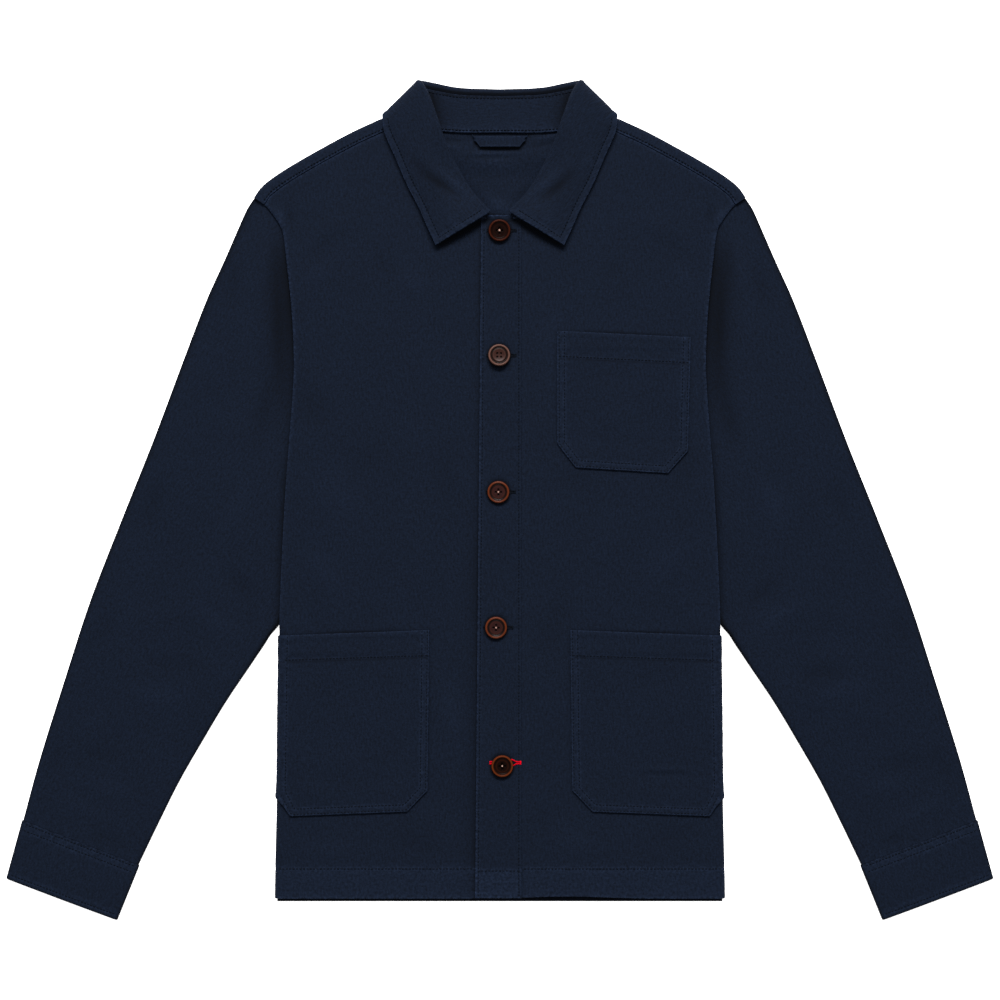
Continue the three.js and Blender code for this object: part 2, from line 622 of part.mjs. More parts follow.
function pocket(side, { top, chamfer, bottom }) {
  const chamferRows = 4;
  const { depth, step } = POCKET_HEM;
  const hemShare = (below) => 1 - below / (top.inner[1] - chamfer.inner[1]);
  const lines = [
    ...steps(chamferRows + 1).slice(0, -1).map((t) => [bottom, chamfer, t]),
    ...steps(4, 0, POCKET_PLAIN).map((t) => [chamfer, top, t]),
    ...[depth, depth - step, 0].map((below) => [chamfer, top, hemShare(below)]),
  ];
  const hemFrom = lines.length - 2;
  const rolled = POCKET_ROLL.map((share) => share * SIDE_ROLL);
  const flatColumns = 6;
  const grid = lines.map(([from, to, t]) => {
    const inner = mixPoint(from.inner, to.inner, t);
    const outer = mixPoint(from.outer, to.outer, t);
    const sewn = innerEdge(outer[1]) - SIDE_ROLL * (1 - cos(POCKET_EDGE_TURN));
    outer[0] = Math.min(outer[0], sewn);
    const near = rolled.map((inset) => inset / (outer[0] - inner[0]));
    const shares = [...near, ...steps(flatColumns + 1, near.at(-1), 1).slice(1)];
    return shares.reverse().map((share) => {
      const [half, y] = mixPoint(outer, inner, share);
      return frontPoint(side, half, y);
    });
  });
  const lastColumn = grid[0].length - 1;
  const seat = (i, j) => {
    const swell = POCKET_SWELL.middle * sin((180 * j) / lastColumn) * sin((180 * i) / (lines.length - 1));
    return TWILL + SEAM_GAP + swell + (i <= chamferRows ? POCKET_SWELL.foot : 0);
  };
  return wall(onSide(side, grid), {
    above: (i, j) => seat(i, j) + TWILL + (i >= hemFrom ? POCKET_HEM.adds : 0),
    below: seat,
  });
}

function hangerLoop() {
  const floor = NECK_RAISE.height + TWILL + SEAM_GAP;
  const rows = steps(3).map((t) =>
    steps(9, -1, 1).map((place) => {
      const half = mix(LOOP.footHalf, LOOP.endHalf, t);
      const topY = Math.abs(place) === 1 ? LOOP.seat : LOOP.top;
      const lift = LOOP.lift * cos(90 * place);
      return new THREE.Vector3(place * half, mix(LOOP.bottom, topY, t), floor + lift);
    }),
  );
  return wall(rows, { above: LOOP.wall });
}

function solid(geometry) {
  const plain = geometry.clone();
  plain.deleteAttribute("normal");
  plain.deleteAttribute("uv");
  const merged = mergeVertices(plain, 1e-4);
  return new wasm.Manifold(
    new wasm.Mesh({
      numProp: 3,
      vertProperties: new Float32Array(merged.getAttribute("position").array),
      triVerts: new Uint32Array(merged.getIndex().array),
    }),
  );
}

function button({ x, y }) {
  const { radius, height, dish, holeRadius, holeOut, sides } = BUTTON;
  const profile = [
    [0, 0],
    [radius - 1.4, 0],
    [radius, 1.1],
    [radius, height - 0.9],
    [radius - 0.9, height],
    [radius - 2, height],
    [radius - 3.1, height - dish * 0.6],
    [radius - 5, height - dish],
    [0, height - dish * 1.1],
  ];
  const turned = new THREE.LatheGeometry(profile.map(([r, z]) => new THREE.Vector2(r, z)), sides);
  let body = solid(turned.rotateX(Math.PI / 2));
  for (const [dx, dy] of [[1, 1], [1, -1], [-1, 1], [-1, -1]]) {
    const drill = new THREE.CylinderGeometry(holeRadius, holeRadius, height * 3, 6);
    drill.rotateX(Math.PI / 2).translate(dx * holeOut, dy * holeOut, 0);
    body = body.subtract(solid(drill));
  }
  const mesh = body.getMesh();
  const geometry = new THREE.BufferGeometry();
  geometry.setAttribute("position", new THREE.BufferAttribute(mesh.vertProperties, 3));
  geometry.setIndex(new THREE.BufferAttribute(mesh.triVerts, 1));
  const seat = frontLevel(-1, -x, y) + TWILL + BAND_WALL + 2 * SEAM_GAP;
  return geometry.translate(x, y, seat);
}

const group = new THREE.Group();
function add(name, geometry, finish = TWILL_FINISH) {
  const mesh = new THREE.Mesh(geometry, new THREE.MeshStandardMaterial(finish));
  mesh.name = name;
  group.add(mesh);
}

add("back_panel", backPanel());
add("front_right", frontPanel(-1));
add("front_left", frontPanel(1));
add("front_band", frontBand());
add("collar_stand", collarPiece("stand"));
add("collar_fall", collarPiece("fall"));
add("hanger_loop", hangerLoop());
const sleeveLeft = sleeve();
add("sleeve_right", mirrored(sleeveLeft));
add("sleeve_left", sleeveLeft);
const cuffLeft = cuff();
add("cuff_right", mirrored(cuffLeft));
add("cuff_left", cuffLeft);
add("pocket_chest", pocket(1, CHEST_POCKET));
add("pocket_lower_right", pocket(-1, LOWER_POCKET));
add("pocket_lower_left", pocket(1, LOWER_POCKET));
BUTTONS.forEach((place, i) => add(`button_${i + 1}`, button(place), BUTTON_FINISH));

export default group;
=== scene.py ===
"""Looks of a cotton twill chore jacket, buttoned and laid flat on its back.

Every cloth piece is a thin closed shell on the form of its solid. The tables below repeat the sizes that
the solids are made from, in millimetres: X across the jacket with the wearer's left at +X, Y from hem to
collar, Z up from the floor. half is the distance from the jacket's centre line.
"""
import math

import bmesh
import bpy
import numpy as np
from bpy.props import FloatProperty, FloatVectorProperty, PointerProperty
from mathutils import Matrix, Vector


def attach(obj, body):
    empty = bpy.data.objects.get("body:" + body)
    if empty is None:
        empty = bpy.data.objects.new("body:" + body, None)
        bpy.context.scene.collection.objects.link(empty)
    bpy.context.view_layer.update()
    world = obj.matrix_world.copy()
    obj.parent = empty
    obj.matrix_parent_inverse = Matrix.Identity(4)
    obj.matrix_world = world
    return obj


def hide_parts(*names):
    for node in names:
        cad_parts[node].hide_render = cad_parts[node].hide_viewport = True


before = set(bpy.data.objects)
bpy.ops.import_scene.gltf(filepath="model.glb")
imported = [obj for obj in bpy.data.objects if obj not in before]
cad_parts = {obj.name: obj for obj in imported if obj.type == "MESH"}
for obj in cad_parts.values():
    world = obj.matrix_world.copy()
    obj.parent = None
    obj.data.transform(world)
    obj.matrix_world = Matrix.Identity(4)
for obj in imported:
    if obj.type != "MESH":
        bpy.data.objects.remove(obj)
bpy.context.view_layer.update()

bl_info = {
    "name": "Chore Jacket Looks",
    "version": (1, 0, 0),
    "blender": (4, 5, 0),
    "location": "3D View > Sidebar > Jacket",
    "description": "Cloth, sewing and buttons of a chore jacket that is laid flat",
    "category": "Object",
}

MM = 0.001
BODY = "root"
CLOTH_UV = "grain"

# Thicknesses
TWILL = 1.2
COLLAR_WALL = 1.8
CUFF_WALL = 1.7
BAND_WALL = 1.6
TURNED_HEM = 0.6
SEAM_GAP = 0.3

# Body
HEM_Y = -365
BACK_HEM_Y = -368.5
HEM_STITCH_Y = -338.2
HEM_WAVE = 2
HEM_SAG = 0.7
FRONT_LEVEL = 4.6
SIDE_ROLL = 6
BACK_INSET = 1.6
ARMHOLE = {"foot": -126, "lifted": -112, "tucked": -100, "untuck": 262, "butted": 276}
ARMHOLE_START = 65
SLEEVE_TUCK = 4.2
SHOULDER_TUCK = 3.5
TUCKED_HEIGHT = 3.9
UNDER_STRIP = 1.3
SPLIT_Y = 60
NECKLINE_CENTRE_Y = 261
NECK_RAISE = {"y": 351, "across": 112, "along": 30, "height": 2.3}
SHOULDER_TOP = 6.9
SHOULDER_RADIUS = 3.4
SHOULDER_STRIP = 11.5
BAND = {"left_top": -17.1, "left_hem": -22.8, "right": 20}
RIGHT_FRONT_REACH = 19.2
UNDER_BAND = {"dip": 1.2, "width": 34}

# y and half of the body's side up to the underarm, then of the front's armhole edge to the shoulder
BODY_SIDE = np.array([
    (-368.5, 207), (-340, 206.6), (-272, 205), (-184, 203.8), (-114, 202.6), (-56, 200.4), (18, 196.4),
    (52, 193.7), (98, 190.3), (128, 189.1), (174, 191.2), (225, 196.4), (243, 198.7), (252.5, 201.9),
    (264.5, 209.3), (269.3, 214),
])
# Outlines as (half, y)
SHOULDER = [
    (86.5, 353), (107, 350), (118, 345.3), (134.8, 337.6), (165.1, 321.5), (193.7, 305),
    (210.2, 294), (219.5, 286), (225.6, 277.2),
]
BACK_NECKLINE = [(0, 340.9), (45, 341.6), (70, 344)]
FRONT_NECKLINE = [(33, 267), (49.5, 280), (63, 297), (72.8, 314), (78.5, 328)]
SLEEVE_OUTER = np.array([
    (437.4, -293.8), (422.7, -239.7), (399.7, -166.1), (375.8, -92.5), (347.3, -18.9), (317.9, 54.7),
    (290.3, 128.3), (269.1, 183.5), (252.5, 220.3), (239.7, 249.8), (232.3, 266.3), (226.3, 276.5),
])
SLEEVE_INNER = np.array([
    (331.4, -334.6), (312.3, -294.9), (293.9, -258.1), (272.8, -221.3), (250.7, -184.5),
    (225.9, -147.7), (209.5, -122), (204.3, -106), (201.6, -56), (197.2, 17),
])
# Rings of the sleeve: y at the outer and the inner fold, and the height of the middle
SLEEVE_RINGS = np.array([
    (-293.8, -334.6, 5.6), (-255, -299, 5.8), (-212, -262, 6.0), (-168, -226, 5.6), (-128, -193, 6.1),
    (-90, -162, 5.7), (-50, -132, 6.0), (-10, -106, 5.8), (35, -82, 6.0), (80, -60, 5.9),
    (122, -40, 5.8), (162, -22, 5.4), (200, -7, 4.9), (236, 6, 4.3), (258, 12, 3.9), (276.5, 17, 3.7),
])
HEAD_HEIGHTS = [262, 252, 242, 226, 200, 174, 150, 128, 98, 76, 60, 45, 30, 17]
SLEEVE_FOLD_HEIGHT = 4.6
# A flattened tube's folded edge: distance in from the edge, share of the height
TUBE_EDGE = np.array([(4, 1), (1.2, 0.87), (0, 0.5), (1.2, 0.13), (4, 0)])
CUFF_END = {"outer": (453.1, -347.4), "inner": (351, -385.7)}
CUFF_SWELL = 1
CUFF_HEIGHT = {"edge": 5, "middle": 6.3}

# Sections of the collar from the centre back to its front end: neck seam, top of the fold and outer edge
# through the middle of the cloth, then the fold's radius and the way that the fall lies from the stand,
# in degrees.
COLLAR = np.array([
    (0, 336.7, 4.8, 0, 373.8, 2.9, 0, 324.3, 0.9, 2, -90),
    (36.3, 336.7, 4.8, 36.3, 375.2, 2.9, 40.9, 326.1, 0.9, 2, -90),
    (63.9, 339.4, 4.8, 59.3, 379.3, 3, 75, 332.6, 0.9, 2.1, -86),
    (77, 344, 4.9, 70, 381.6, 3.6, 93, 342.2, 0.95, 2.3, -65),
    (81.4, 347.6, 5.4, 74, 382.3, 4.5, 104.5, 350.9, 1.6, 2.4, -35),
    (82.6, 349, 6.5, 75.4, 382.3, 6.7, 107.9, 353.5, 4.6, 2.5, 0),
    (82.4, 347.6, 7.8, 74.4, 381.2, 9.4, 108.4, 351.4, 7.9, 2.6, 38),
    (81.6, 342, 8.6, 71.6, 377.5, 11.2, 107.8, 344, 9.1, 2.8, 68),
    (79.8, 330, 8.6, 66, 366.5, 11.7, 104.6, 333, 8.9, 3, 84),
    (75.6, 314.4, 8, 59.3, 347.3, 11.5, 96.6, 315.1, 8.4, 3.2, 90),
    (66, 297.6, 7.7, 51.6, 324.3, 11.2, 86, 290.3, 8.2, 3.2, 90),
    (52.5, 279.2, 7.6, 40, 300.4, 10.9, 74.5, 267.7, 8.4, 3, 90),
    (35, 264.8, 7.8, 26.2, 279.2, 10.7, 65.8, 248, 9.3, 2.6, 90),
    (12.6, 257, 8.2, 9.8, 262.5, 10.4, 58.8, 232.8, 10.6, 2, 90),
])
FALL_SWELL = 1.3
STAND_SHARE = 0.9
STAND_GAP = 0.3
ROLL_DROP = {"height": 4.6, "length": 26}

# Patch pockets: inner and outer ends of the bottom line, the chamfers' tops and the mouth
LOWER_POCKET = {
    "inner": np.array([(85, -285.7), (66.3, -266.3), (64.6, -119.4)]),
    "outer": np.array([(192, -289.9), (206.6, -268.3), (206, -124.4)]),
}
CHEST_POCKET = {
    "inner": np.array([(69.5, 29.6), (52.6, 51.3), (52.5, 154.8)]),
    "outer": np.array([(154.1, 24.4), (172.4, 44.9), (174.9, 149)]),
}
POCKET_HEM = {"depth": 23, "adds": 0.4}
POCKET_EDGE_TURN = 22
POCKET_SWELL = {"middle": 0.5, "foot": 0.35}

LOOP = {"end_half": 25.8, "foot_half": 18.4, "seat": 336, "top": 333, "bottom": 323.6, "wall": 1.2,
        "lift": 0.8, "stand_off": 1.2}

BUTTONS = [(-0.4, 246.8), (-0.7, 132.3), (-1.3, 7.2), (-3.5, -117), (2.1, -243.8)]
BUTTON_RADIUS = 10.1

# Soft folds as (from x, from y, to x, to y, width, height, bend): a ridge, or a trough where the height
# is below 0, that fades out at both ends and bows sideways by the bend.
FRONT_FOLDS = [
    (-182, 236, -112, 268, 10, 0.6, 0), (-160, 180, -60, 105, 26, 0.5, 0),
    (-100, -5, -60, -105, 24, 0.5, 0), (182, 234, 112, 266, 10, 0.6, 0),
    (50, -5, 150, -85, 24, 0.5, 0),
]
FRONT_CREASES = [
    (-203, 273, -196, 246, 2.6, 0.8, 1), (-193, 274, -189, 246, 2.8, -0.6, 1),
    (203, 273, 197, 248, 2.6, 0.7, -1), (193, 275, 190, 247, 3, -0.55, -1),
    (-188, 214, -142, 252, 6, -0.2, 3), (-184, 196, -150, 222, 7, 0.35, 2),
    (-120, 232, -88, 206, 7, -0.35, 4), (-98, 214, -62, 178, 9, 0.3, -4),
    (-186, 120, -150, 60, 13, -0.35, 6), (-176, 40, -130, -40, 15, 0.3, -6),
    (-150, 20, -92, 64, 12, -0.28, 5), (-60, 60, -34, -20, 12, -0.3, 3),
    (-188, -40, -140, -96, 11, 0.35, -4), (-196, -316, -120, -322, 8, 0.3, 2),
    (-110, -306, -40, -318, 9, -0.3, 3), (-48, -150, -34, -250, 9, 0.35, 2),
    (188, 212, 144, 250, 6, -0.2, -3), (182, 192, 156, 222, 6, 0.3, -2),
    (118, 226, 86, 204, 8, -0.3, -4), (60, 190, 40, 120, 10, 0.28, 3),
    (40, 20, 96, 8, 9, -0.25, -4), (186, 60, 150, 0, 12, -0.35, -5),
    (180, -30, 128, -92, 12, 0.3, 5), (64, -60, 32, -160, 12, -0.3, -3),
    (40, -305, 110, -318, 9, 0.3, 3), (120, -312, 196, -306, 9, -0.28, -3),
]
SLEEVE_FOLDS = [
    (225, 235, 212, 70, 7, 0.7, 0), (245, 60, 330, -70, 17, 0.5, 0),
    (265, -95, 365, -120, 13, 0.6, 0), (300, -190, 400, -215, 14, 0.5, 0),
]
SLEEVE_CREASES = [
    (206, 240, 200, 60, 6, -0.65, 1), (214, 262, 221, 180, 5, 0.4, -2),
    (236, 240, 246, 160, 6, -0.4, 3), (204, 130, 222, 30, 8, -0.6, 4),
    (230, 30, 262, -40, 9, 0.4, -5), (216, -100, 262, -64, 8, -0.5, 4),
    (226, -128, 290, -92, 8, 0.4, -4), (300, 30, 330, -40, 9, -0.35, 3),
    (262, -160, 330, -150, 8, -0.45, 4), (276, -186, 352, -170, 8, 0.4, -3),
    (350, -90, 384, -150, 8, -0.35, -3), (330, -240, 408, -236, 8, -0.4, 3),
    (322, -268, 380, -262, 7, 0.35, -2), (390, -216, 420, -262, 7, -0.3, 2),
    (344, -300, 420, -270, 6, 0.3, 2), (340, -318, 380, -304, 5, -0.35, 1),
]
INSIDE_BACK_CREASES = [
    (-42, 317.5, 28, 317.5, 1.7, 0.5, 0), (-42, 314.4, 28, 314.6, 1.8, -0.45, 0),
    (-60, 331, -26, 328.5, 1.9, -0.5, 0), (20, 322, 60, 331.5, 1.9, -0.5, 1),
    (-62, 326, -30, 321, 2.4, 0.4, 0), (30, 331, 62, 335, 1.9, 0.35, 0), (-34, 308, 24, 307, 6, 0.4, -2),
    (-50, 302, -18, 276, 5, -0.5, 2), (46, 298, 8, 272, 6, -0.4, -3), (-20, 284, 24, 262, 6, 0.4, 4),
]
OUTSIDE_BACK_CREASES = [
    (-150, 200, -60, 150, 16, -0.5, 6), (150, 196, 70, 140, 18, -0.5, -6),
    (-30, 120, 36, 20, 18, -0.45, 8), (-140, 0, -80, -120, 18, -0.5, 7),
    (140, -20, 70, -130, 17, -0.45, -7), (-60, -200, 60, -230, 16, -0.4, 8),
]
COLLAR_CREASES = [
    (-90, 326, -30, 275, 5, -0.5, 7), (86, 322, 30, 270, 5, -0.5, -3),
    (-69, 303, -33, 276, 4, -0.5, 2), (66, 298, 32, 271, 4, -0.5, -2),
    (-66, 308, -12, 266, 4, 0.55, 0), (62, 306, 12, 266, 4, 0.55, 0), (92, 322, 56, 296, 4, 0.35, -3),
    (-52, 268, -30, 244, 5, 0.4, 2), (52, 268, 32, 246, 5, 0.4, -2),
]
POCKET_CREASES = {
    "pocket_lower_right": [(-200, -186, -110, -168, 14, -0.5, 6), (-176, -226, -96, -250, 12, 0.45, 6),
                           (-100, -160, -74, -210, 9, -0.4, 3), (-190, -256, -150, -276, 8, 0.4, 2)],
    "pocket_lower_left": [(112, -247.5, 190, -249, 2.6, 0.6, -1), (112, -251.5, 188, -253, 2.2, -0.45, -1),
                          (96, -166, 190, -178, 12, -0.45, -5), (84, -200, 150, -224, 12, 0.4, 5),
                          (176, -188, 196, -236, 8, -0.4, 3)],
    "pocket_chest": [(70, 120, 150, 108, 9, -0.35, 4), (66, 60, 140, 84, 10, 0.3, -4),
                     (152, 66, 168, 120, 7, 0.3, 2)],
}


# Working out shapes


def mix(a, b, share):
    return a + (np.asarray(b) - a) * share


def smooth(x, low, high):
    """0 below low, 1 above high, and an S curve of 3t squared less 2t cubed between."""
    t = np.clip((x - low) / (high - low), 0, 1)
    return t * t * (3 - 2 * t)


def bell(off, width):
    """1 at 0, falling to both sides as a bell curve does."""
    return np.exp(-((off / width) ** 2))


def fade(off, length):
    """1 at 0, and less by a factor of e with each length."""
    return np.exp(-off / length)


def sin(degrees):
    return np.sin(np.radians(degrees))


def cos(degrees):
    return np.cos(np.radians(degrees))


def between(xs, values, x):
    """Cubic through a table's rows at x, where each row's slope is that of the line through the rows on
    both sides of it. values may hold several columns."""
    xs, values, x = np.asarray(xs, float), np.asarray(values, float), np.asarray(x, float)
    last = len(xs) - 1
    rows = np.arange(last + 1)
    before, after = np.maximum(rows - 1, 0), np.minimum(rows + 1, last)
    wide = (xs[after] - xs[before]).reshape((-1,) + (1,) * (values.ndim - 1))
    slopes = (values[after] - values[before]) / wide
    i = np.clip(np.searchsorted(xs, x, side="left") - 1, 0, last - 1)
    span = xs[i + 1] - xs[i]
    t = np.clip((x - xs[i]) / span, 0, 1)
    if values.ndim > 1:
        span, t = span[..., None], t[..., None]
    rise = t * t * (3 - 2 * t)
    bend = t * (1 - t) ** 2 * span * slopes[i] + t * t * (t - 1) * span * slopes[i + 1]
    return mix(values[i], values[i + 1], rise) + bend


def along(outline):
    """The point a share of the way along an outline, by its length, as (half, y)."""
    outline = np.asarray(outline, float)
    lengths = np.append(0, np.cumsum(np.linalg.norm(np.diff(outline, axis=0), axis=1)))
    return lambda share: between(lengths, outline, np.asarray(share) * lengths[-1])


def patch(bottom, top, start, end):
    """Surface spanned by four edges: the two ruled surfaces added, less the one through the corners."""

    def at(u, v):
        across, up = u[..., None], v[..., None]
        ruled = mix(bottom(u), top(u), up) + mix(start(v), end(v), across)
        low = mix(bottom(0 * u), bottom(0 * u + 1), across)
        high = mix(top(0 * u), top(0 * u + 1), across)
        return ruled - mix(low, high, up)

    return at


def reach(grid, axis, end=False):
    """How far each point of a grid is from its line's first point, or from its last one."""
    steps = np.linalg.norm(np.diff(grid, axis=axis), axis=-1)
    run = np.insert(np.cumsum(steps, axis=axis), 0, 0, axis=axis)
    return np.take(run, [-1], axis=axis) - run if end else run


FINE_EDGE = np.array([0, 0.2, 0.5, 0.9, 1.5, 2.3, 3.3, 4.4, 5.5, 6.5, 7.6])


def spaced(length, step, start=FINE_EDGE, end=FINE_EDGE):
    """Shares from 0 to 1 along a length: fine steps at both ends and even ones between."""
    middle = np.linspace(start[-1], length - end[-1], max(2, round((length - start[-1] - end[-1]) / step)))
    return np.concatenate([start[:-1], middle, length - end[-2::-1]]) / length


def near(path, x, y):
    """Distance of each point from a path of straight lines, and how far along it the nearest place is."""
    best, run, start = np.full(np.shape(x), np.inf), np.zeros(np.shape(x)), 0.0
    for (x0, y0), (x1, y1) in zip(path[:-1], path[1:]):
        dx, dy = x1 - x0, y1 - y0
        length = math.hypot(dx, dy)
        t = np.clip(((x - x0) * dx + (y - y0) * dy) / length**2, 0, 1)
        off = np.hypot(x - x0 - t * dx, y - y0 - t * dy)
        run = np.where(off < best, start + t * length, run)
        best = np.minimum(off, best)
        start += length
    return best, run


def folds(table, x, y):
    """Soft folds: each is its height, times a squared sine along it, times a bell across it."""
    height = np.zeros(np.shape(x))
    for x0, y0, x1, y1, width, top, bend in table:
        dx, dy = x1 - x0, y1 - y0
        length = math.hypot(dx, dy)
        share = np.clip(((x - x0) * dx + (y - y0) * dy) / length**2, 0, 1)
        swing = np.sin(np.pi * share)
        off = ((x - x0) * dy - (y - y0) * dx) / length - bend * swing
        height += top * swing**2 * bell(off, width)
    return height


def sewn(path, x, y, seed, depth=0.32, pucker=0.13, width=1.3, spread=4.5):
    """Relief of a sewn line: a groove with a bell's section, and puckers across it, which are three
    waves of uneven length along it that die away to both sides."""
    off, run = near(path, x, y)
    waves = (np.sin(run / 1.25 + seed) + 0.8 * np.sin(run / 2.03 + 2.1 * seed)
             + 0.9 * np.sin(run / 3.7 + 0.7 * seed))
    return -depth * bell(off, width) + pucker * waves * bell(off, spread)


def lip(distance, radius=0.9):
    """Share of a cloth's thickness near its edge, which is rounded as a quarter circle."""
    inside = 1 - np.clip(distance / radius, 0, 1)
    return 0.3 + 0.7 * np.sqrt(np.maximum(0, 1 - inside**2))


def wall(grid, above, below=0.0, keep=None, ring=False):
    """Closed shell through a grid of points. Each face is the grid moved along its normal, which is the
    way across it times the way up it, and a rim joins the faces where cells end. keep says which cells
    stay, and ring joins the last column to the first. Returns the points and the four-sided faces."""
    across = np.roll(grid, -1, 1) - np.roll(grid, 1, 1)
    if not ring:
        across[:, 0] = grid[:, 1] - grid[:, 0]
        across[:, -1] = grid[:, -1] - grid[:, -2]
    normal = np.cross(across, np.gradient(grid, axis=0))
    normal /= np.maximum(np.linalg.norm(normal, axis=-1, keepdims=True), 1e-9)
    rows, columns = grid.shape[:2]
    depths = [np.broadcast_to(depth, (rows, columns))[..., None] for depth in (above, below)]
    points = np.concatenate([(grid + normal * depth).reshape(-1, 3) for depth in depths])
    points[:, 2] = np.maximum(points[:, 2], 0)
    i, j = np.mgrid[0 : rows - 1, 0 : columns - (0 if ring else 1)]
    if keep is not None:
        kept = keep(i, j)
        i, j = i[kept], j[kept]
    at = lambda row, column: (row * columns + column % columns).ravel()
    cells = np.stack([at(i, j), at(i, j + 1), at(i + 1, j + 1), at(i + 1, j)], axis=1)
    other = rows * columns
    edges = np.stack([cells, np.roll(cells, -1, axis=1)], axis=-1).reshape(-1, 2)
    alone = ~np.isin(edges[:, 1] * other + edges[:, 0], edges[:, 0] * other + edges[:, 1])
    start, end = edges[alone].T
    rim = np.stack([end, start, start + other, end + other], axis=1)
    return points, np.concatenate([cells, cells[:, ::-1] + other, rim])


def both_faces(values):
    """The same value for the two faces of a wall."""
    flat = np.reshape(values, (-1,) + np.shape(values)[2:])
    return np.concatenate([flat, flat])


def write_field(mesh, key, values):
    """Writes one value for each point of a mesh, for its material to read."""
    mesh.attributes.new(key, "FLOAT", "POINT").data.foreach_set("value", values.astype(np.float32))


def add_mesh(name, points, quads, material, grain=None, wear_and_highlight=None, painted_shade=None, sharp=55):
    """Puts points in millimetres and four-sided faces into a new object that rides on the jacket."""
    used, quads = np.unique(quads, return_inverse=True)
    quads = quads.reshape(-1, 4)
    mesh = bpy.data.meshes.new(name)
    mesh.vertices.add(len(used))
    mesh.vertices.foreach_set("co", (points[used] * MM).astype(np.float32).ravel())
    mesh.loops.add(quads.size)
    mesh.loops.foreach_set("vertex_index", quads.ravel().astype(np.int32))
    mesh.polygons.add(len(quads))
    mesh.polygons.foreach_set("loop_start", np.arange(0, quads.size, 4, dtype=np.int32))
    mesh.update(calc_edges=True)
    mesh.polygons.foreach_set("use_smooth", np.ones(len(quads), dtype=bool))
    mesh.set_sharp_from_angle(angle=math.radians(sharp))
    if grain is not None:
        layer = mesh.uv_layers.new(name=CLOTH_UV)
        layer.data.foreach_set("uv", (grain[used][quads.ravel()] * MM).astype(np.float32).ravel())
    # The first field makes the colour paler, for rubbed wear and painted highlight on ridges and edges; the
    # second darkens it where shade is painted in.
    for key, values in (("wear_and_highlight", wear_and_highlight), ("painted_shade", painted_shade)):
        if grain is not None:
            write_field(mesh, key, np.zeros(len(used)) if values is None else values[used])
    mesh.materials.append(material)
    piece = bpy.data.objects.new(name, mesh)
    bpy.context.scene.collection.objects.link(piece)
    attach(piece, BODY)
    return piece


def add_cloth(name, node, shell, grain, wear_and_highlight=None, painted_shade=None):
    """Adds a cloth piece that stands for the solid of the same piece."""
    points, quads = shell
    fields = [None if field is None else both_faces(field) for field in (wear_and_highlight, painted_shade)]
    piece = add_mesh(name, points, quads, twill_material(), both_faces(grain), *fields)
    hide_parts(node)
    return piece


def on_side(side, half_grid):
    """Puts a grid of (half, y, z) on one side of the jacket, with its columns running towards +X."""
    grid = half_grid * np.array([side, 1, 1])
    return grid if side > 0 else grid[:, ::-1]


def facing(side, values):
    return values if side > 0 else values[:, ::-1]


# Body


def body_half(y):
    return between(BODY_SIDE[:, 0], BODY_SIDE[:, 1], y)


def inside_shoulder(share, inset):
    """Point a share of the way from neck to tip of the shoulder, moved in at right angles to it."""
    share = np.asarray(share, float)
    at = along(SHOULDER)
    run = at(np.minimum(1, share + 0.01)) - at(np.maximum(0, share - 0.01))
    run /= np.linalg.norm(run, axis=-1, keepdims=True)
    inward = np.stack([run[..., 1], -run[..., 0]], axis=-1)
    return at(share) + inward * np.asarray(inset)[..., None]


def neck_raise(half, y):
    distance = np.hypot(half / NECK_RAISE["across"], (y - NECK_RAISE["y"]) / NECK_RAISE["along"])
    return NECK_RAISE["height"] * (1 - smooth(distance, 1.15, 1.9))


def sleeve_end_half(y):
    lifted = smooth(y, ARMHOLE["lifted"], ARMHOLE["tucked"])
    tuck = lifted * (1 - smooth(y, ARMHOLE["untuck"], ARMHOLE["butted"]))
    return body_half(y) + 2 * SEAM_GAP - SLEEVE_TUCK * tuck


def front_level(side, half, y):
    """Height of a front's inner face: a level with soft folds, sinking under the band on the right."""
    near_band = 1 - smooth(half, -BAND["left_top"], -BAND["left_top"] + UNDER_BAND["width"])
    dip = UNDER_BAND["dip"] * near_band if side < 0 else 0
    return FRONT_LEVEL + folds(FRONT_FOLDS, side * half, y) - dip


def roll_start(y):
    return ARMHOLE_START * smooth(y, ARMHOLE["foot"], ARMHOLE["lifted"])


def inner_edge(y):
    return body_half(y) - TWILL * cos(roll_start(y))


def roll_rise(inset, y):
    """Sine of the turn of the side roll at a distance in from the edge: its section is a circle."""
    return np.sin(np.arccos(np.clip(cos(roll_start(y)) - np.maximum(0, inset) / SIDE_ROLL, 0, 1)))


def front_height(side, half, y):
    return front_level(side, half, y) * roll_rise(inner_edge(y) - half, y)


def front_centre(side):
    return -RIGHT_FRONT_REACH if side < 0 else BAND["right"] - 0.5


def front_plan(side):
    """Upper part of a front, between the straight rows below the underarm and the shoulder seam."""
    centre = front_centre(side)
    seam = lambda share: inside_shoulder(share, SHOULDER_STRIP + 2 * SEAM_GAP)
    neckline = along([(centre, NECKLINE_CENTRE_Y), *FRONT_NECKLINE, tuple(seam(0.0))])
    corner = 0.6
    side0 = float(inner_edge(SPLIT_Y))

    def opening(v):
        edge = np.stack([np.full(v.shape, float(centre)), mix(SPLIT_Y, NECKLINE_CENTRE_Y, v / corner)], -1)
        return np.where((v <= corner)[..., None], edge, neckline(np.clip((v - corner) / (1 - corner), 0, 1)))

    def armhole(v):
        y = mix(SPLIT_Y, BODY_SIDE[-1, 0], v)
        edge = np.stack([inner_edge(y), y], axis=-1)
        return mix(edge, seam(np.ones(v.shape)), smooth(v, 0.9, 1)[..., None])

    bottom = lambda u: np.stack([mix(side0, centre, u), np.full(u.shape, float(SPLIT_Y))], axis=-1)
    return patch(bottom, lambda u: seam(1 - u), armhole, opening)


def hem_line(low, high, y=HEM_STITCH_Y):
    return [(low, y), (high, y)]


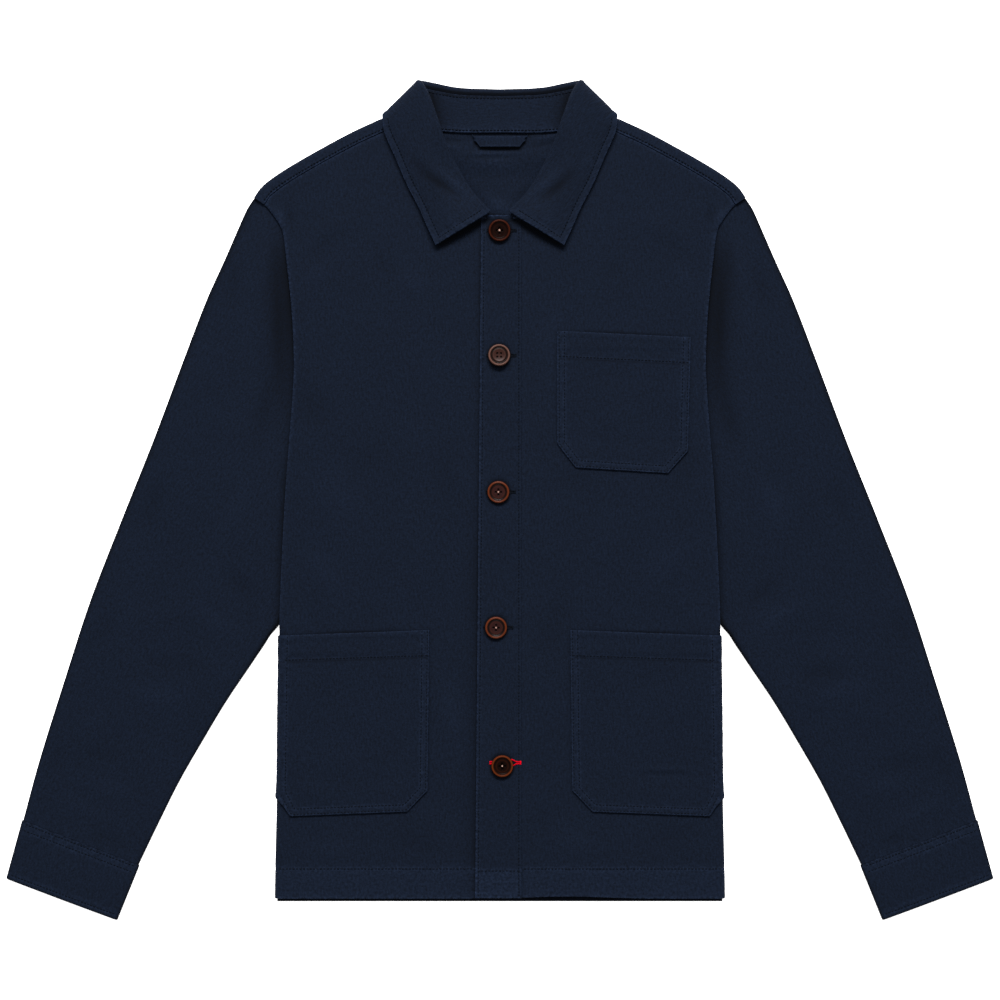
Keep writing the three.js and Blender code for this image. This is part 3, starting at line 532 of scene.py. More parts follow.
def front_relief(side, half, y):
    """Creases, the sewn hem, and the ridge of the seam that stands along the armhole."""
    x = side * half
    relief = folds(FRONT_CREASES, x, y)
    relief += sewn(hem_line(0, 210), half, y, 3 + side)
    hem = smooth(-y, -HEM_STITCH_Y, -HEM_STITCH_Y + 5)
    relief += hem * 0.1 * (np.sin(half / 4.1 + side) + np.sin(half / 6.7 + 1))
    beside = inner_edge(y) - half
    armhole = smooth(y, 40, 70)
    relief += armhole * 0.55 * bell(beside - 2.2, 2.6)
    relief -= armhole * 0.3 * bell(beside - 7, 3)
    return relief


COLLAR_FOOT = [(108.4, 351.4), (104.6, 333), (96.6, 315.1), (86, 290.3), (74.5, 267.7), (65.8, 248),
               (58.8, 232.8), (12.6, 257)]


def painted_shade_on_front(side, half, y):
    """How much shade is painted into the front's cloth: beside the collar, the pockets and the band."""
    off, run = near(COLLAR_FOOT, half, y)
    lower = smooth(run, 128, 134)
    shade = mix(0.5 * fade(off, 1.6), 0.9 * bell(off, 4.5), lower)
    for _, spec, pocket_side, _ in POCKETS:
        if pocket_side == side:
            outline = pocket_outline(spec, 0.0)
            shade = np.maximum(shade, 0.32 * fade(near(outline, half, y)[0], 1.3))
            off, run = near(pocket_mouth_line(spec, -1.0), half, y)
            width = spec["outer"][2, 0] - spec["inner"][2, 0]
            swing = sin(180 * np.clip(run / width, 0, 1))
            shade = np.maximum(shade, 0.75 * swing * bell(off, 1.8))
    if side < 0:
        beside = np.maximum(half + band_left(y), 0)
        shade = np.maximum(shade, mix(0.6, 0.95, smooth(-y, -60, 120)) * fade(beside, 1.8))
        shade = np.maximum(shade, 0.45 * fade(beside, 6) * smooth(-y, -40, 60))
    return shade


def front_grid(side):
    centre = front_centre(side)
    u = spaced(180, 2.6)
    hem_rows = spaced(SPLIT_Y - HEM_Y, 2.7, end=np.array([0, 2.7]))
    y = mix(HEM_Y, SPLIT_Y, hem_rows)[:, None]
    half = mix(inner_edge(y), centre, u[None, :])
    lower = np.stack([half, y + 0 * half, front_height(side, half, y + 0 * half)], axis=-1)
    v = np.linspace(0, 1, 96)[1:]
    across, up = np.meshgrid(u, v)
    plan = front_plan(side)(across, up)
    rise = roll_rise(across * (inner_edge(SPLIT_Y) - centre), float(SPLIT_Y))
    height = front_level(side, plan[..., 0], plan[..., 1]) * rise
    upper = np.concatenate([plan, height[..., None]], axis=-1)
    if side > 0:
        wave = bell(half - 62, 48) * (1 - smooth(y - HEM_Y, 0, 26))
        lower[..., 1] += HEM_WAVE * wave
    lower[..., 1] -= HEM_SAG * (1 - smooth(y - HEM_Y, 0, 26))
    return np.concatenate([lower, upper])[:, ::-1]


def make_front(side):
    """One front: rows run straight across up to the armhole, then fan out to the shoulder seam."""
    grid = front_grid(side)
    half, y = grid[..., 0], grid[..., 1]
    seam_side = reach(grid, 1, end=True)
    edges = np.minimum.reduce([reach(grid, 0), reach(grid, 0, end=True), reach(grid, 1), seam_side])
    relief = front_relief(side, half, y)
    hem = 1 - smooth(y, HEM_STITCH_Y - 1, HEM_STITCH_Y + 1.5)
    round_off = lip(edges)
    above = TWILL * (0.5 + 0.5 * round_off) + relief
    below = TWILL * (0.5 - 0.5 * round_off) - TURNED_HEM * hem * lip(reach(grid, 0), 2)
    # Paler: rubbed edges and hem, and painted highlight along the armhole edge and on the creases' ridges.
    wear_and_highlight = 0.8 * fade(edges, 1.1) + 0.6 * bell(near(hem_line(0, 210), half, y)[0], 2.2)
    wear_and_highlight += 0.25 * (1 - smooth(y, HEM_STITCH_Y - 4, HEM_STITCH_Y))
    wear_and_highlight *= smooth(half - front_centre(side), 1, 4) if side > 0 else 1
    creases = folds(FRONT_CREASES, side * half, y)
    beside = inner_edge(y) - half
    wear_and_highlight += 0.3 * smooth(y, 30, 90) * bell(beside - 1.2, 1.1) + 0.45 * np.maximum(0, creases)
    name = "front_left" if side > 0 else "front_right"
    shell = wall(on_side(side, grid), facing(side, above), facing(side, below))
    grain = facing(side, np.stack([side * half, y], axis=-1))
    # Painted shade: a dark outline along the side below the underarm, shade beside the collar, pockets and
    # band, and in the creases' troughs.
    outline = 0.75 * bell(seam_side, 1.1) * (1 - smooth(y, -120, -100))
    painted_shade = np.maximum(painted_shade_on_front(side, half, y), outline) + 0.4 * np.maximum(0, -creases)
    painted_shade = facing(side, painted_shade)
    piece = add_cloth(f"{name}_cloth", name, shell, grain, facing(side, wear_and_highlight), painted_shade)
    return piece


def make_back():
    """The back: a flat sheet from hem to neck that wraps up over both shoulders, as the sum of a patch
    between its four edges and a half circle of the cloth's own radius along each shoulder."""
    neck_share = 0.42
    neck_corner = inside_shoulder(0.0, SHOULDER_RADIUS)
    tip = inside_shoulder(1.0, SHOULDER_RADIUS)
    neckline = along([*BACK_NECKLINE, tuple(neck_corner)])
    shoulder_share = lambda u: np.maximum(0, (u - neck_share) / (1 - neck_share))

    def side_half(y):
        beside = body_half(y) - TWILL - BACK_INSET
        return mix(beside, sleeve_end_half(y) - BACK_INSET, smooth(y, ARMHOLE["foot"], ARMHOLE["lifted"]))

    heights = np.array([BACK_HEM_Y, -340, -184, -56, 18, 45, 75, 98, 128, 174, 215, 240, 255, 264])
    side = along([*np.stack([side_half(heights), heights], axis=-1), tip])
    top = lambda u: np.where((u <= neck_share)[..., None], neckline(np.minimum(1, u / neck_share)),
                             inside_shoulder(shoulder_share(u), SHOULDER_RADIUS))
    plan = patch(
        lambda u: np.stack([u * side_half(BACK_HEM_Y), np.full(u.shape, BACK_HEM_Y)], axis=-1),
        top,
        lambda v: np.stack([0 * v, mix(BACK_HEM_Y, BACK_NECKLINE[0][1], v)], axis=-1),
        side,
    )
    u = np.concatenate([np.linspace(0, neck_share, 20), np.linspace(neck_share, 1, 34)[1:]])
    rows = [0, 0.0006, 0.0015], np.linspace(0.004, 0.87, 130)[:-1], np.linspace(0.87, 1, 60)
    v = np.concatenate(rows)
    across, up = np.meshgrid(u, v)
    flat = plan(across, up)
    raised = neck_raise(flat[..., 0], flat[..., 1])[..., None]
    flat = np.concatenate([flat, raised], axis=-1)
    turns = np.linspace(-75, 90, 12)
    inset = np.append(SHOULDER_RADIUS * (1 - cos(turns)), [5.5, 7.5, 9.5, SHOULDER_STRIP])[:, None]
    rise = np.append((1 + sin(turns)) / 2, [0.985, 0.97, 0.955, 0.94])[:, None]
    share = shoulder_share(u)[None, :] + 0 * inset
    over = inside_shoulder(share, inset + 0 * share)
    foot = inside_shoulder(shoulder_share(u), SHOULDER_RADIUS)
    over[..., 0] -= np.where(u < neck_share, neck_corner[0] * (1 - u / neck_share), 0)
    height = mix(neck_raise(*foot.T)[None, :], SHOULDER_TOP, rise)
    half_grid = np.concatenate([flat, np.concatenate([over, height[..., None]], axis=-1)])
    grid = np.concatenate([half_grid[:, :0:-1] * np.array([-1, 1, 1]), half_grid], axis=1)
    x, y = grid[..., 0], grid[..., 1]
    is_flat = (np.arange(len(grid)) < len(flat))[:, None]
    edges = np.minimum(reach(grid, 0), reach(grid, 0, end=True))
    inside = np.where(is_flat, folds(INSIDE_BACK_CREASES, x, y), 0)
    inside += np.where(is_flat, sewn(hem_line(-205, 205, BACK_HEM_Y + 24), x, y, 5), 0)
    outside = np.where(is_flat, np.maximum(0, -folds(OUTSIDE_BACK_CREASES, x, y)), 0)
    strip = sewn(shoulder_line(9.2), np.abs(x), y, 7, depth=0.25, pucker=0.1)
    outside = np.where(is_flat, outside, -strip)
    hem = np.where(reach(grid, 0) < 26, TURNED_HEM, 0)
    round_off = lip(edges)
    above = TWILL * (0.5 + 0.5 * round_off) + inside + hem
    below = TWILL * (0.5 - 0.5 * round_off) + outside
    columns = len(u) - 1
    on_shoulder = lambda i, j: (i < len(flat) - 1) | (np.abs(j + 0.5 - columns) > 19)
    shell = wall(grid, above, below, keep=on_shoulder)
    # Paler: rubbed edges, and painted highlight on the ridges of the inside creases.
    wear_and_highlight = fade(edges, 1.6) * 0.8 + np.where(is_flat, 0.8 * np.maximum(0, inside), 0.12)
    # Painted shade: a shadow under the hanger loop, a dark line along the neck seam, the back's hem strip
    # below the fronts darkened, the inside creases' troughs and a dark outline along each shoulder's roll.
    foot, end = LOOP["foot_half"], LOOP["end_half"]
    neck_line = [(-70, 338.6), (-45, 336), (0, 335.5), (45, 336), (70, 338.6)]
    loop_edge = [(-end, 335), (-foot, 322.6), (foot, 322.6), (end, 335)]
    painted_shade = bell(near(loop_edge, x, y)[0], 1.7)
    painted_shade = np.maximum(painted_shade, 0.45 * bell(near(neck_line, x, y)[0], 1.1))
    outline = np.append(np.zeros(len(flat)), 0.75 * bell(inset[:, 0], 0.9))[:, None]
    painted_shade = np.maximum(painted_shade, 1 - smooth(y, -366, -362)) + 0.7 * np.maximum(0, -inside)
    painted_shade = np.where(is_flat, painted_shade, outline)
    piece = add_cloth("back_cloth", "back_panel", shell, np.stack([x, y], axis=-1), wear_and_highlight, painted_shade)
    return piece


def shoulder_line(inset):
    """The shoulder seam's topstitching, from neck to tip, as a path of (half, y)."""
    points = inside_shoulder(np.linspace(0.12, 0.985, 12), np.full(12, inset))
    return [tuple(point) for point in points]


# Front band


def band_left(y):
    return mix(BAND["left_hem"], BAND["left_top"], (y - HEM_Y) / (NECKLINE_CENTRE_Y - HEM_Y))


def band_relief(x, y):
    """Sewn lines along both edges of the band, its hem, and a dimple round each button."""
    left = [(float(band_left(at)) + 2.8, at) for at in (HEM_Y, NECKLINE_CENTRE_Y)]
    right = [(BAND["right"] - 2.6, HEM_Y), (BAND["right"] - 2.6, NECKLINE_CENTRE_Y)]
    relief = sewn(left, x, y, 1, depth=0.25, pucker=0.12, spread=3.5)
    relief += sewn(right, x, y, 2, depth=0.28, pucker=0.12, spread=3.5)
    relief += sewn(hem_line(-24, 22, -340), x, y, 4, depth=0.3)
    for bx, by in BUTTONS:
        relief -= 0.4 * bell(np.hypot(x - bx - 4, (y - by) * 1.2), 11)
        relief += 0.22 * bell(np.hypot(x - bx, y - by - 17), 9)
    return relief + 0.18 * np.sin(y / 23.0 + 1) * np.sin((x + 20) * np.pi / 40)


def band_height(x, y):
    """Height of the band's outer face, which lies on the right front."""
    return front_height(-1, -x, y) + TWILL + SEAM_GAP + BAND_WALL + band_relief(x, y)


def make_band():
    """The buttonhole band: a straight strip on the right front's form, moved out by its own wall."""
    u, v = spaced(40, 1.6), spaced(NECKLINE_CENTRE_Y - HEM_Y, 1.7)
    y = mix(HEM_Y, NECKLINE_CENTRE_Y, v)[:, None] + 0 * u[None, :]
    x = mix(band_left(y), BAND["right"], u[None, :])
    grid = np.stack([x, y, front_height(-1, -x, y)], axis=-1)
    edges = np.minimum.reduce([reach(grid, 0), reach(grid, 0, True), reach(grid, 1), reach(grid, 1, True)])
    base = TWILL + SEAM_GAP
    round_off = lip(edges)
    above = base + BAND_WALL * (0.5 + 0.5 * round_off) + band_relief(x, y)
    below = base + BAND_WALL * (0.5 - 0.5 * round_off)
    wear_and_highlight = fade(edges, 1.1) + 0.15 * (1 - smooth(reach(grid, 1), 3, 6))
    wear_and_highlight *= smooth(reach(grid, 1, True), 0.5, 3)
    wear_and_highlight += 0.6 * bell(y + 340, 2.2) + 0.45 * (1 - smooth(y, -344, -341))
    # A painted highlight along the band's top edge, between the collar's ends.
    below_top = NECKLINE_CENTRE_Y - y
    wear_and_highlight += 0.8 * bell(below_top, 2.2)
    # Painted shade: beside the collar's foot, a shadow under the band's top edge, and a dark ring round each
    # button.
    painted_shade = 0.85 * bell(near(COLLAR_FOOT, np.abs(x), y)[0], 4)
    painted_shade = np.maximum(painted_shade, 0.85 * bell(below_top - 4.6 - x / 12, 1.2) * (x > -13))
    for bx, by in BUTTONS:
        beside = np.hypot(x - bx, y - by) - BUTTON_RADIUS
        painted_shade = np.maximum(painted_shade, 0.85 * bell(beside, 1.7))
    shell = wall(grid, above, below)
    piece = add_cloth("front_band_cloth", "front_band", shell, grid[..., :2], wear_and_highlight, painted_shade)
    return piece


# Collar


CORNER_DRAW = 0.9
COLLAR_STITCH = 6.6


def collar_frame(share):
    """Collar section at a share of the way from centre back to front end: the points of the table, and
    the directions up the stand and over to the fall."""
    row = between(np.linspace(0, 1, len(COLLAR)), COLLAR, share)
    seam, fold, edge = row[..., 0:3], row[..., 3:6], row[..., 6:9]
    roll, lean = row[..., 9:10], row[..., 10:11]
    drawn = CORNER_DRAW * smooth(share, 0.15, 0.3) * (1 - smooth(share, 0.5, 0.62))
    fold, edge = (place - drawn[..., None] * np.array([1, 1, 0]) for place in (fold, edge))
    rise = (fold - seam) / np.linalg.norm(fold - seam, axis=-1, keepdims=True)
    out = np.stack([rise[..., 1], -rise[..., 0], 0 * rise[..., 0]], axis=-1)
    out /= np.linalg.norm(out, axis=-1, keepdims=True)
    over = out * cos(lean) + np.array([0, 0, 1]) * sin(lean)
    return seam, fold, edge, roll, rise, over, lean


def roll_drop(share):
    """How much lower the fold lies on the wearer's chest, where the collar rolls softly into the neck."""
    return ROLL_DROP["height"] * smooth(share, 0.7, 0.84) * (1 - 0.75 * smooth(share, 0.9, 1))


def fall_point(share, t):
    """Middle of the fall: t runs from 0 in the groove above the stand to 1 at the start of the roll, to 2
    round its half circle, and to 3 down the straight fall to the outer edge, which bows up a little."""
    seam, fold, edge, roll, rise, over, lean = collar_frame(share)
    t = t[..., None]
    stand_top = fold - over * roll
    gap_share = STAND_SHARE + STAND_GAP / np.linalg.norm(stand_top - seam, axis=-1, keepdims=True)
    groove = mix(mix(seam, stand_top, gap_share), stand_top, np.clip(t, 0, 1))
    turn = -90 + 180 * np.clip(t - 1, 0, 1)
    arc = fold + over * roll * sin(turn) + rise * roll * cos(turn)
    down = np.clip(t - 2, 0, 1)
    fall = mix(fold + over * roll, edge, down)
    swell = FALL_SWELL * smooth(lean, 0, 90) * sin(180 * down)
    fall = fall + swell * np.array([0, 0, 1])
    length = np.linalg.norm(edge - fold - over * roll, axis=-1, keepdims=True)
    drop = roll_drop(share)[..., None] * (1 - smooth(down * length, 0, ROLL_DROP["length"]))
    return np.where(t <= 1, groove, np.where(t <= 2, arc, fall)) - drop * np.array([0, 0, 1])


def both_halves(half_grid):
    """A grid of one half of the collar, from the centre back out, joined with its mirror image."""
    return np.concatenate([(half_grid * np.array([-1, 1, 1]))[:0:-1], half_grid])


def mirrored(half_field):
    """A field of one half of the collar, joined with its mirror image."""
    return np.concatenate([half_field[:0:-1], half_field])


def collar_shares():
    return np.concatenate([np.linspace(0, 0.985, 150), [0.989, 0.993, 0.996, 0.998, 1]])


def make_fall():
    """The collar's fall: it rolls over the stand, lies down outside it, and is sewn round its edge."""
    down = 2 + spaced(62, 1.7, start=np.array([0, 1.7]))
    t = np.concatenate([[0, 0.5], np.linspace(1, 2, 14), down[1:]])
    share, place = np.meshgrid(collar_shares(), t, indexing="ij")
    grid = both_halves(fall_point(share, place))
    x, y = grid[..., 0], grid[..., 1]
    outer = reach(grid, 1, end=True)
    ends = np.minimum(reach(grid, 0), reach(grid, 0, end=True))
    edge = np.minimum(outer, ends)
    rolled = np.minimum(lip(reach(grid, 1)), lip(edge))
    run = reach(grid, 0)
    waves = np.sin(run / 1.3) + 0.8 * np.sin(run / 2.1 + 1) + 0.9 * np.sin(run / 3.9 + 2)
    run_end = reach(grid, 1)
    end_waves = np.sin(run_end / 1.3) + 0.8 * np.sin(run_end / 2.1 + 1)
    stitch = bell(edge - COLLAR_STITCH, 1.3)
    visible = mirrored(smooth(place, 1.9, 2.1))
    creases = folds(COLLAR_CREASES, x, y)
    relief = visible * (-0.4 * stitch + 0.22 * bell(edge - 2.6, 2.2))
    spread = bell(edge - COLLAR_STITCH, 4)
    relief += visible * 0.1 * np.where(outer < ends, waves, end_waves) * spread
    relief += visible * creases
    half_wall = COLLAR_WALL / 2 * rolled
    # Paler: rubbed edges and the strip inside the stitching, painted highlight on the creases' ridges, and a
    # painted highlight along the top of the roll at the back.
    wear_and_highlight = 0.8 * fade(edge, 1.1) + 0.15 * visible * (1 - smooth(edge, 6, 9))
    wear_and_highlight += 0.45 * visible * np.maximum(0, creases)
    roll_highlight = bell(place - 1.6, 0.22)
    roll_highlight = roll_highlight * (1 - smooth(share, 0.42, 0.58))
    wear_and_highlight += 0.2 * mirrored(roll_highlight)
    # Painted shade: a dark line along the top of the roll at the back, shade in the groove above the stand,
    # and in the creases' troughs.
    painted_shade = 0.6 * bell(place - 1.5, 0.16) * (1 - smooth(share, 0.48, 0.6))
    painted_shade = np.maximum(painted_shade, 0.85 * (1 - smooth(place, 0.5, 1.15)))
    painted_shade = mirrored(painted_shade) + 0.75 * visible * np.maximum(0, -creases)
    grain = np.stack([reach(grid, 1), run], axis=-1)
    shell = wall(grid, half_wall, -half_wall - relief)
    piece = add_cloth("collar_fall_cloth", "collar_fall", shell, grain, wear_and_highlight, painted_shade)
    return piece


def stand_point(share, t):
    """Middle of the stand: a straight line from the neck seam to just under the fold."""
    seam, fold, _, roll, _, over, _ = collar_frame(share)
    drop = roll_drop(share) * smooth(t, 0.15, 1)
    return mix(seam, fold - over * roll, t[..., None] * STAND_SHARE) - drop[..., None] * np.array([0, 0, 1])


def make_stand():
    """The collar's stand, which shows inside the neck."""
    t = spaced(34, 1.5, start=np.array([0, 0.2, 0.5, 0.9, 1.5]), end=np.array([0, 0.2, 0.5, 0.9, 1.5]))
    share, place = np.meshgrid(collar_shares(), t, indexing="ij")
    grid = both_halves(stand_point(share, place))
    low, high = reach(grid, 1), reach(grid, 1, end=True)
    edge = np.minimum.reduce([low, high, reach(grid, 0), reach(grid, 0, end=True)])
    run = reach(grid, 0)
    waves = np.sin(run / 1.2) + 0.8 * np.sin(run / 2.2 + 1) + np.sin(run / 4.1 + 2)
    relief = 0.12 * waves * bell(low - 2.2, 3.5) - 0.3 * bell(low - 2.2, 1)
    relief += 0.1 * waves * bell(high, 3)
    half_wall = COLLAR_WALL / 2 * lip(edge)
    wear_and_highlight = 0.6 * fade(low, 1.5) + 0.5 * fade(low, 4) + 0.5 * fade(high, 3)
    grain = np.stack([low, run], axis=-1)
    shell = wall(grid, half_wall, -half_wall - relief)
    # Painted shade: beside the fold at the stand's ends, under its top edge, and on its lowest part at the
    # front.
    fold_line = [(63, 374), (56, 339), (50, 320), (10, 262)]
    upper = smooth(grid[..., 1], 325, 352)
    from_fold = near(fold_line, np.abs(grid[..., 0]), grid[..., 1])[0]
    painted_shade = (0.3 + 0.6 * upper) * fade(from_fold, 4 + 2 * upper)
    painted_shade = np.maximum(painted_shade, 0.75 * bell(high - 1, 1.3))
    painted_shade = np.maximum(painted_shade, 0.9 * (1 - smooth(grid[..., 1], 262, 268)))
    piece = add_cloth("collar_stand_cloth", "collar_stand", shell, grain, wear_and_highlight, painted_shade)
    return piece


# Sleeves and cuffs


def tube_columns():
    """Columns round a flattened tube: distance in from a folded edge in millimetres, or the share of the
    span across, and the share of the height. The first folded edge is the outer one."""
    index = np.linspace(0, len(TUBE_EDGE) - 1, 13)
    edge = between(np.arange(len(TUBE_EDGE)), TUBE_EDGE, index)
    return np.maximum(edge, 0)


def tube_grid(plan, v, edge_height, middle, table, spans):
    """Rings round a flattened tube. The section has a rounded fold at both edges, a flat underside and a
    top that is crowned as a power of a sine, with soft folds on it."""
    outer, inner = plan(0 * v, v), plan(0 * v + 1, v)
    width = np.linalg.norm(outer - inner, axis=-1)[:, None]
    edge = tube_columns()
    inset = edge[0, 0] / width
    top = np.linspace(0, 1, spans + 1)[1:-1][None, :]
    under = np.linspace(0, 1, 16)[1:-1][None, :]
    u = np.concatenate([
        edge[:, 0] / width,
        mix(inset, 1 - inset, under),
        1 - edge[::-1, 0] / width,
        mix(1 - inset, inset, top),
    ], axis=1)
    share = np.concatenate([edge[:, 1], 0 * under[0], edge[::-1, 1], 0 * top[0] + 1])[None, :]
    point = plan(u, v[:, None] + 0 * u)
    crown = np.sin(np.pi * np.clip(u, 0, 1)) ** 0.7
    height = mix(edge_height[:, None], middle[:, None], crown) + folds(table, point[..., 0], point[..., 1])
    return np.concatenate([point, (share * height)[..., None]], axis=-1), u, share


def sleeve_plan():
    ring_share = np.linspace(0, 1, len(SLEEVE_RINGS))
    outer_at = lambda y: between(SLEEVE_OUTER[:, 1], SLEEVE_OUTER[:, 0], y)
    lifted = lambda y: smooth(y, ARMHOLE["foot"], ARMHOLE["lifted"])
    inner_at = lambda y: between(SLEEVE_INNER[:, 1], SLEEVE_INNER[:, 0], y) - SLEEVE_TUCK * lifted(y)
    ring = lambda v: between(ring_share, SLEEVE_RINGS, v)
    tip = inside_shoulder(np.ones(2), np.array([0.6, 10]))
    way = inside_shoulder(np.array([0.94, 1.0]), np.zeros(2))
    way = (way[0] - way[1]) / np.linalg.norm(way[0] - way[1])
    tip = tip + way * SHOULDER_TUCK

    def outer(v):
        plain = np.stack([outer_at(ring(v)[..., 0]), ring(v)[..., 0]], axis=-1)
        return mix(plain, tip[0], smooth(v, 0.965, 1)[..., None])

    inner = lambda v: np.stack([inner_at(ring(v)[..., 1]), ring(v)[..., 1]], axis=-1)
    heights = np.array(HEAD_HEIGHTS, float)
    head = along([*tip, *np.stack([sleeve_end_half(heights), heights], axis=-1)])
    foot = lambda u: mix(SLEEVE_OUTER[0], SLEEVE_INNER[0], u[..., None])
    return patch(foot, head, outer, inner), lambda v: ring(v)[..., 2]


def sleeve_grain(half, y):
    """Places on the sleeve's cloth, across it and down towards the cuff."""
    along_x, along_y = 0.32, -0.947
    return np.stack([half * -along_y + y * along_x, half * along_x + y * along_y], axis=-1)


def make_sleeve(side):
    """One sleeve: rings from the cuff seam to the armhole."""
    plan, middle_at = sleeve_plan()
    v = np.concatenate([[0, 0.0006, 0.0016, 0.003], np.linspace(0.006, 1, 225)])
    middle = middle_at(v)
    edge_height = np.minimum(SLEEVE_FOLD_HEIGHT, middle)
    grid, u, share = tube_grid(plan, v, edge_height, middle, SLEEVE_FOLDS, 70)
    half, y = grid[..., 0], grid[..., 1]
    on_top = smooth(share, 0.8, 1) + 0 * half
    creases = folds(SLEEVE_CREASES if side > 0 else mirrored_folds(SLEEVE_CREASES), half, y)
    from_cuff = reach(grid, 0)
    creases += 0.14 * bell(from_cuff, 5) * (np.sin(half / 1.9) + np.sin(half / 3.1 + side))
    grid[..., 2] = np.maximum(grid[..., 2] + on_top * creases, 0.35 * share)
    beside = half - body_half(y)
    hollow = smooth(y, 40, 110) * (1 - smooth(y, 190, 262))
    low = TUCKED_HEIGHT - 0.9 * hollow
    limit = low + (6.4 - low) * smooth(beside, 0, mix(9, 26, hollow)) + 4 * (1 - smooth(y, -138, -122))
    grid[..., 2] = np.minimum(grid[..., 2], limit * share ** 0.5 + 0 * half)
    under_back = UNDER_STRIP * (1 - smooth(reach(grid, 0, end=True), 5, 11))
    grid[..., 2] = np.maximum(grid[..., 2], under_back)
    # Painted shade: a soft dark band beside the armhole, dark outlines along both folded edges, shade along
    # the underarm seam and in the creases' troughs. The paler field is painted highlight on the creases'
    # ridges.
    shade = smooth(y, 30, 180) * (1 - smooth(y, 205, 262)) * (1 - smooth(beside, 0, 38)) * on_top
    painted_shade = 0.6 * shade * smooth(beside, -8, 0) + 0.85 * bell(np.minimum(u, 1 - u), 0.013)
    low_seam = smooth(y, -130, -112) * (1 - smooth(y, -20, 80))
    painted_shade += 0.4 * smooth(y, -120, 40) * fade(np.maximum(beside, 0), 2.2)
    painted_shade += 0.6 * low_seam * fade(np.maximum(beside, 0), 3.4)
    painted_shade += 0.7 * smooth(y, -160, -120) * (1 - smooth(y, -112, -104)) * bell(1 - u, 0.022)
    painted_shade = np.minimum(painted_shade, 1)
    painted_shade += 0.4 * np.maximum(0, -creases) * on_top
    wear_and_highlight = 0.45 * np.maximum(0, creases) * on_top
    grain = sleeve_grain(half, y)
    points, quads = wall(grid, 0, -TWILL, ring=True)
    if side < 0:
        points, quads = points * np.array([-1, 1, 1]), quads[:, ::-1]
        grain = grain * np.array([-1, 1])
    name = "sleeve_left" if side > 0 else "sleeve_right"
    piece = add_cloth(f"{name}_cloth", name, (points, quads), grain, wear_and_highlight, painted_shade)
    return piece


def mirrored_folds(table):
    """The same folds with their bends, widths and heights swapped about, for the other sleeve."""
    swapped = table[::-1]
    return [row[:4] + (other[4], row[5] * 0.85 + other[5] * 0.1, -row[6])
            for row, other in zip(table, swapped)]


CUFF_LENGTH = 56
CUFF_STITCH = (53.8, 48, 5)


def cuff_plan():
    """The cuff from its open edge, at v 0, to its seam, where it swells out past the sleeve."""
    outer, inner = SLEEVE_OUTER[0], SLEEVE_INNER[0]
    ends = np.array(CUFF_END["outer"]), np.array(CUFF_END["inner"])
    unit = lambda start, end: (end - start) / np.linalg.norm(end - start)
    across, down = unit(outer, inner), unit(outer, ends[0])
    seam = [outer - across * CUFF_SWELL + down * SEAM_GAP, inner + across * CUFF_SWELL + down * SEAM_GAP]

    def plan(u, v):
        low = mix(ends[0], ends[1], u[..., None])
        high = mix(seam[0], seam[1], u[..., None])
        return mix(low, high, v[..., None])

    return plan


def cuff_relief(half, y):
    """Two sewn lines under the cuff's seam and one along its open edge, with puckers between."""
    return sum(sewn(line, half, y, 2.0 * i + 1, depth=0.3, pucker=0.16, spread=4)
               for i, line in enumerate(cuff_lines()))


def cuff_lines():
    """Paths of the cuff's topstitching, as (half, y)."""
    u = np.array([0.02, 0.25, 0.5, 0.75, 0.98])
    lines = [cuff_plan()(u, 0 * u + at / CUFF_LENGTH) for at in CUFF_STITCH]
    return [[tuple(point) for point in line] for line in lines]


def cuff_height(u):
    crown = np.sin(np.pi * np.clip(u, 0, 1)) ** 0.7
    return mix(CUFF_HEIGHT["edge"], CUFF_HEIGHT["middle"], crown)


def make_cuff(side):
    """One cuff: a short flattened tube."""
    plan = cuff_plan()
    v = spaced(CUFF_LENGTH, 1.7)
    height = np.full(v.shape, float(CUFF_HEIGHT["edge"]))
    middle = np.full(v.shape, float(CUFF_HEIGHT["middle"]))
    grid, u, share = tube_grid(plan, v, height, middle, [], 60)
    half, y = grid[..., 0], grid[..., 1]
    on_top = smooth(share, 0.8, 1) + 0 * half
    grid[..., 2] = np.maximum(grid[..., 2] + on_top * cuff_relief(half, y), 0.2 * share)
    from_seam = reach(grid, 0, end=True)
    edge = np.minimum(reach(grid, 0), from_seam)
    thickness = CUFF_WALL * lip(edge, 0.8)
    inset = (CUFF_WALL - thickness) / 2
    wear_and_highlight = 0.5 * fade(from_seam, 1.1)
    # Painted shade: dark outlines along both folded edges, at the open end and along the seam.
    painted_shade = 0.85 * bell(np.minimum(u, 1 - u), 0.015)
    painted_shade = painted_shade + 0.75 * bell(reach(grid, 0), 1.5)
    painted_shade += 0.6 * bell(from_seam - 0.2, 0.7)
    lines = np.minimum.reduce([near(line, half, y)[0] for line in cuff_lines()])
    wear_and_highlight = wear_and_highlight + 0.4 * bell(lines, 3) * on_top
    grain = sleeve_grain(half, y)
    points, quads = wall(grid, -inset, -inset - thickness, ring=True)
    if side < 0:
        points, quads = points * np.array([-1, 1, 1]), quads[:, ::-1]
    name = "cuff_left" if side > 0 else "cuff_right"
    piece = add_cloth(f"{name}_cloth", name, (points, quads), grain, wear_and_highlight, painted_shade)
    return piece


# Pockets


def pocket_ends(spec, level):
    """Inner and outer end of a line across a pocket: level 0 is its bottom, 1 the top of its chamfers
    and 2 its mouth."""
    read = lambda table: np.stack([np.interp(level, [0, 1, 2], table[:, axis]) for axis in (0, 1)], axis=-1)
    inner, outer = read(spec["inner"]), read(spec["outer"])
    sewn_half = inner_edge(outer[..., 1]) - SIDE_ROLL * (1 - cos(POCKET_EDGE_TURN))
    outer[..., 0] = np.minimum(outer[..., 0], sewn_half)
    return inner, outer


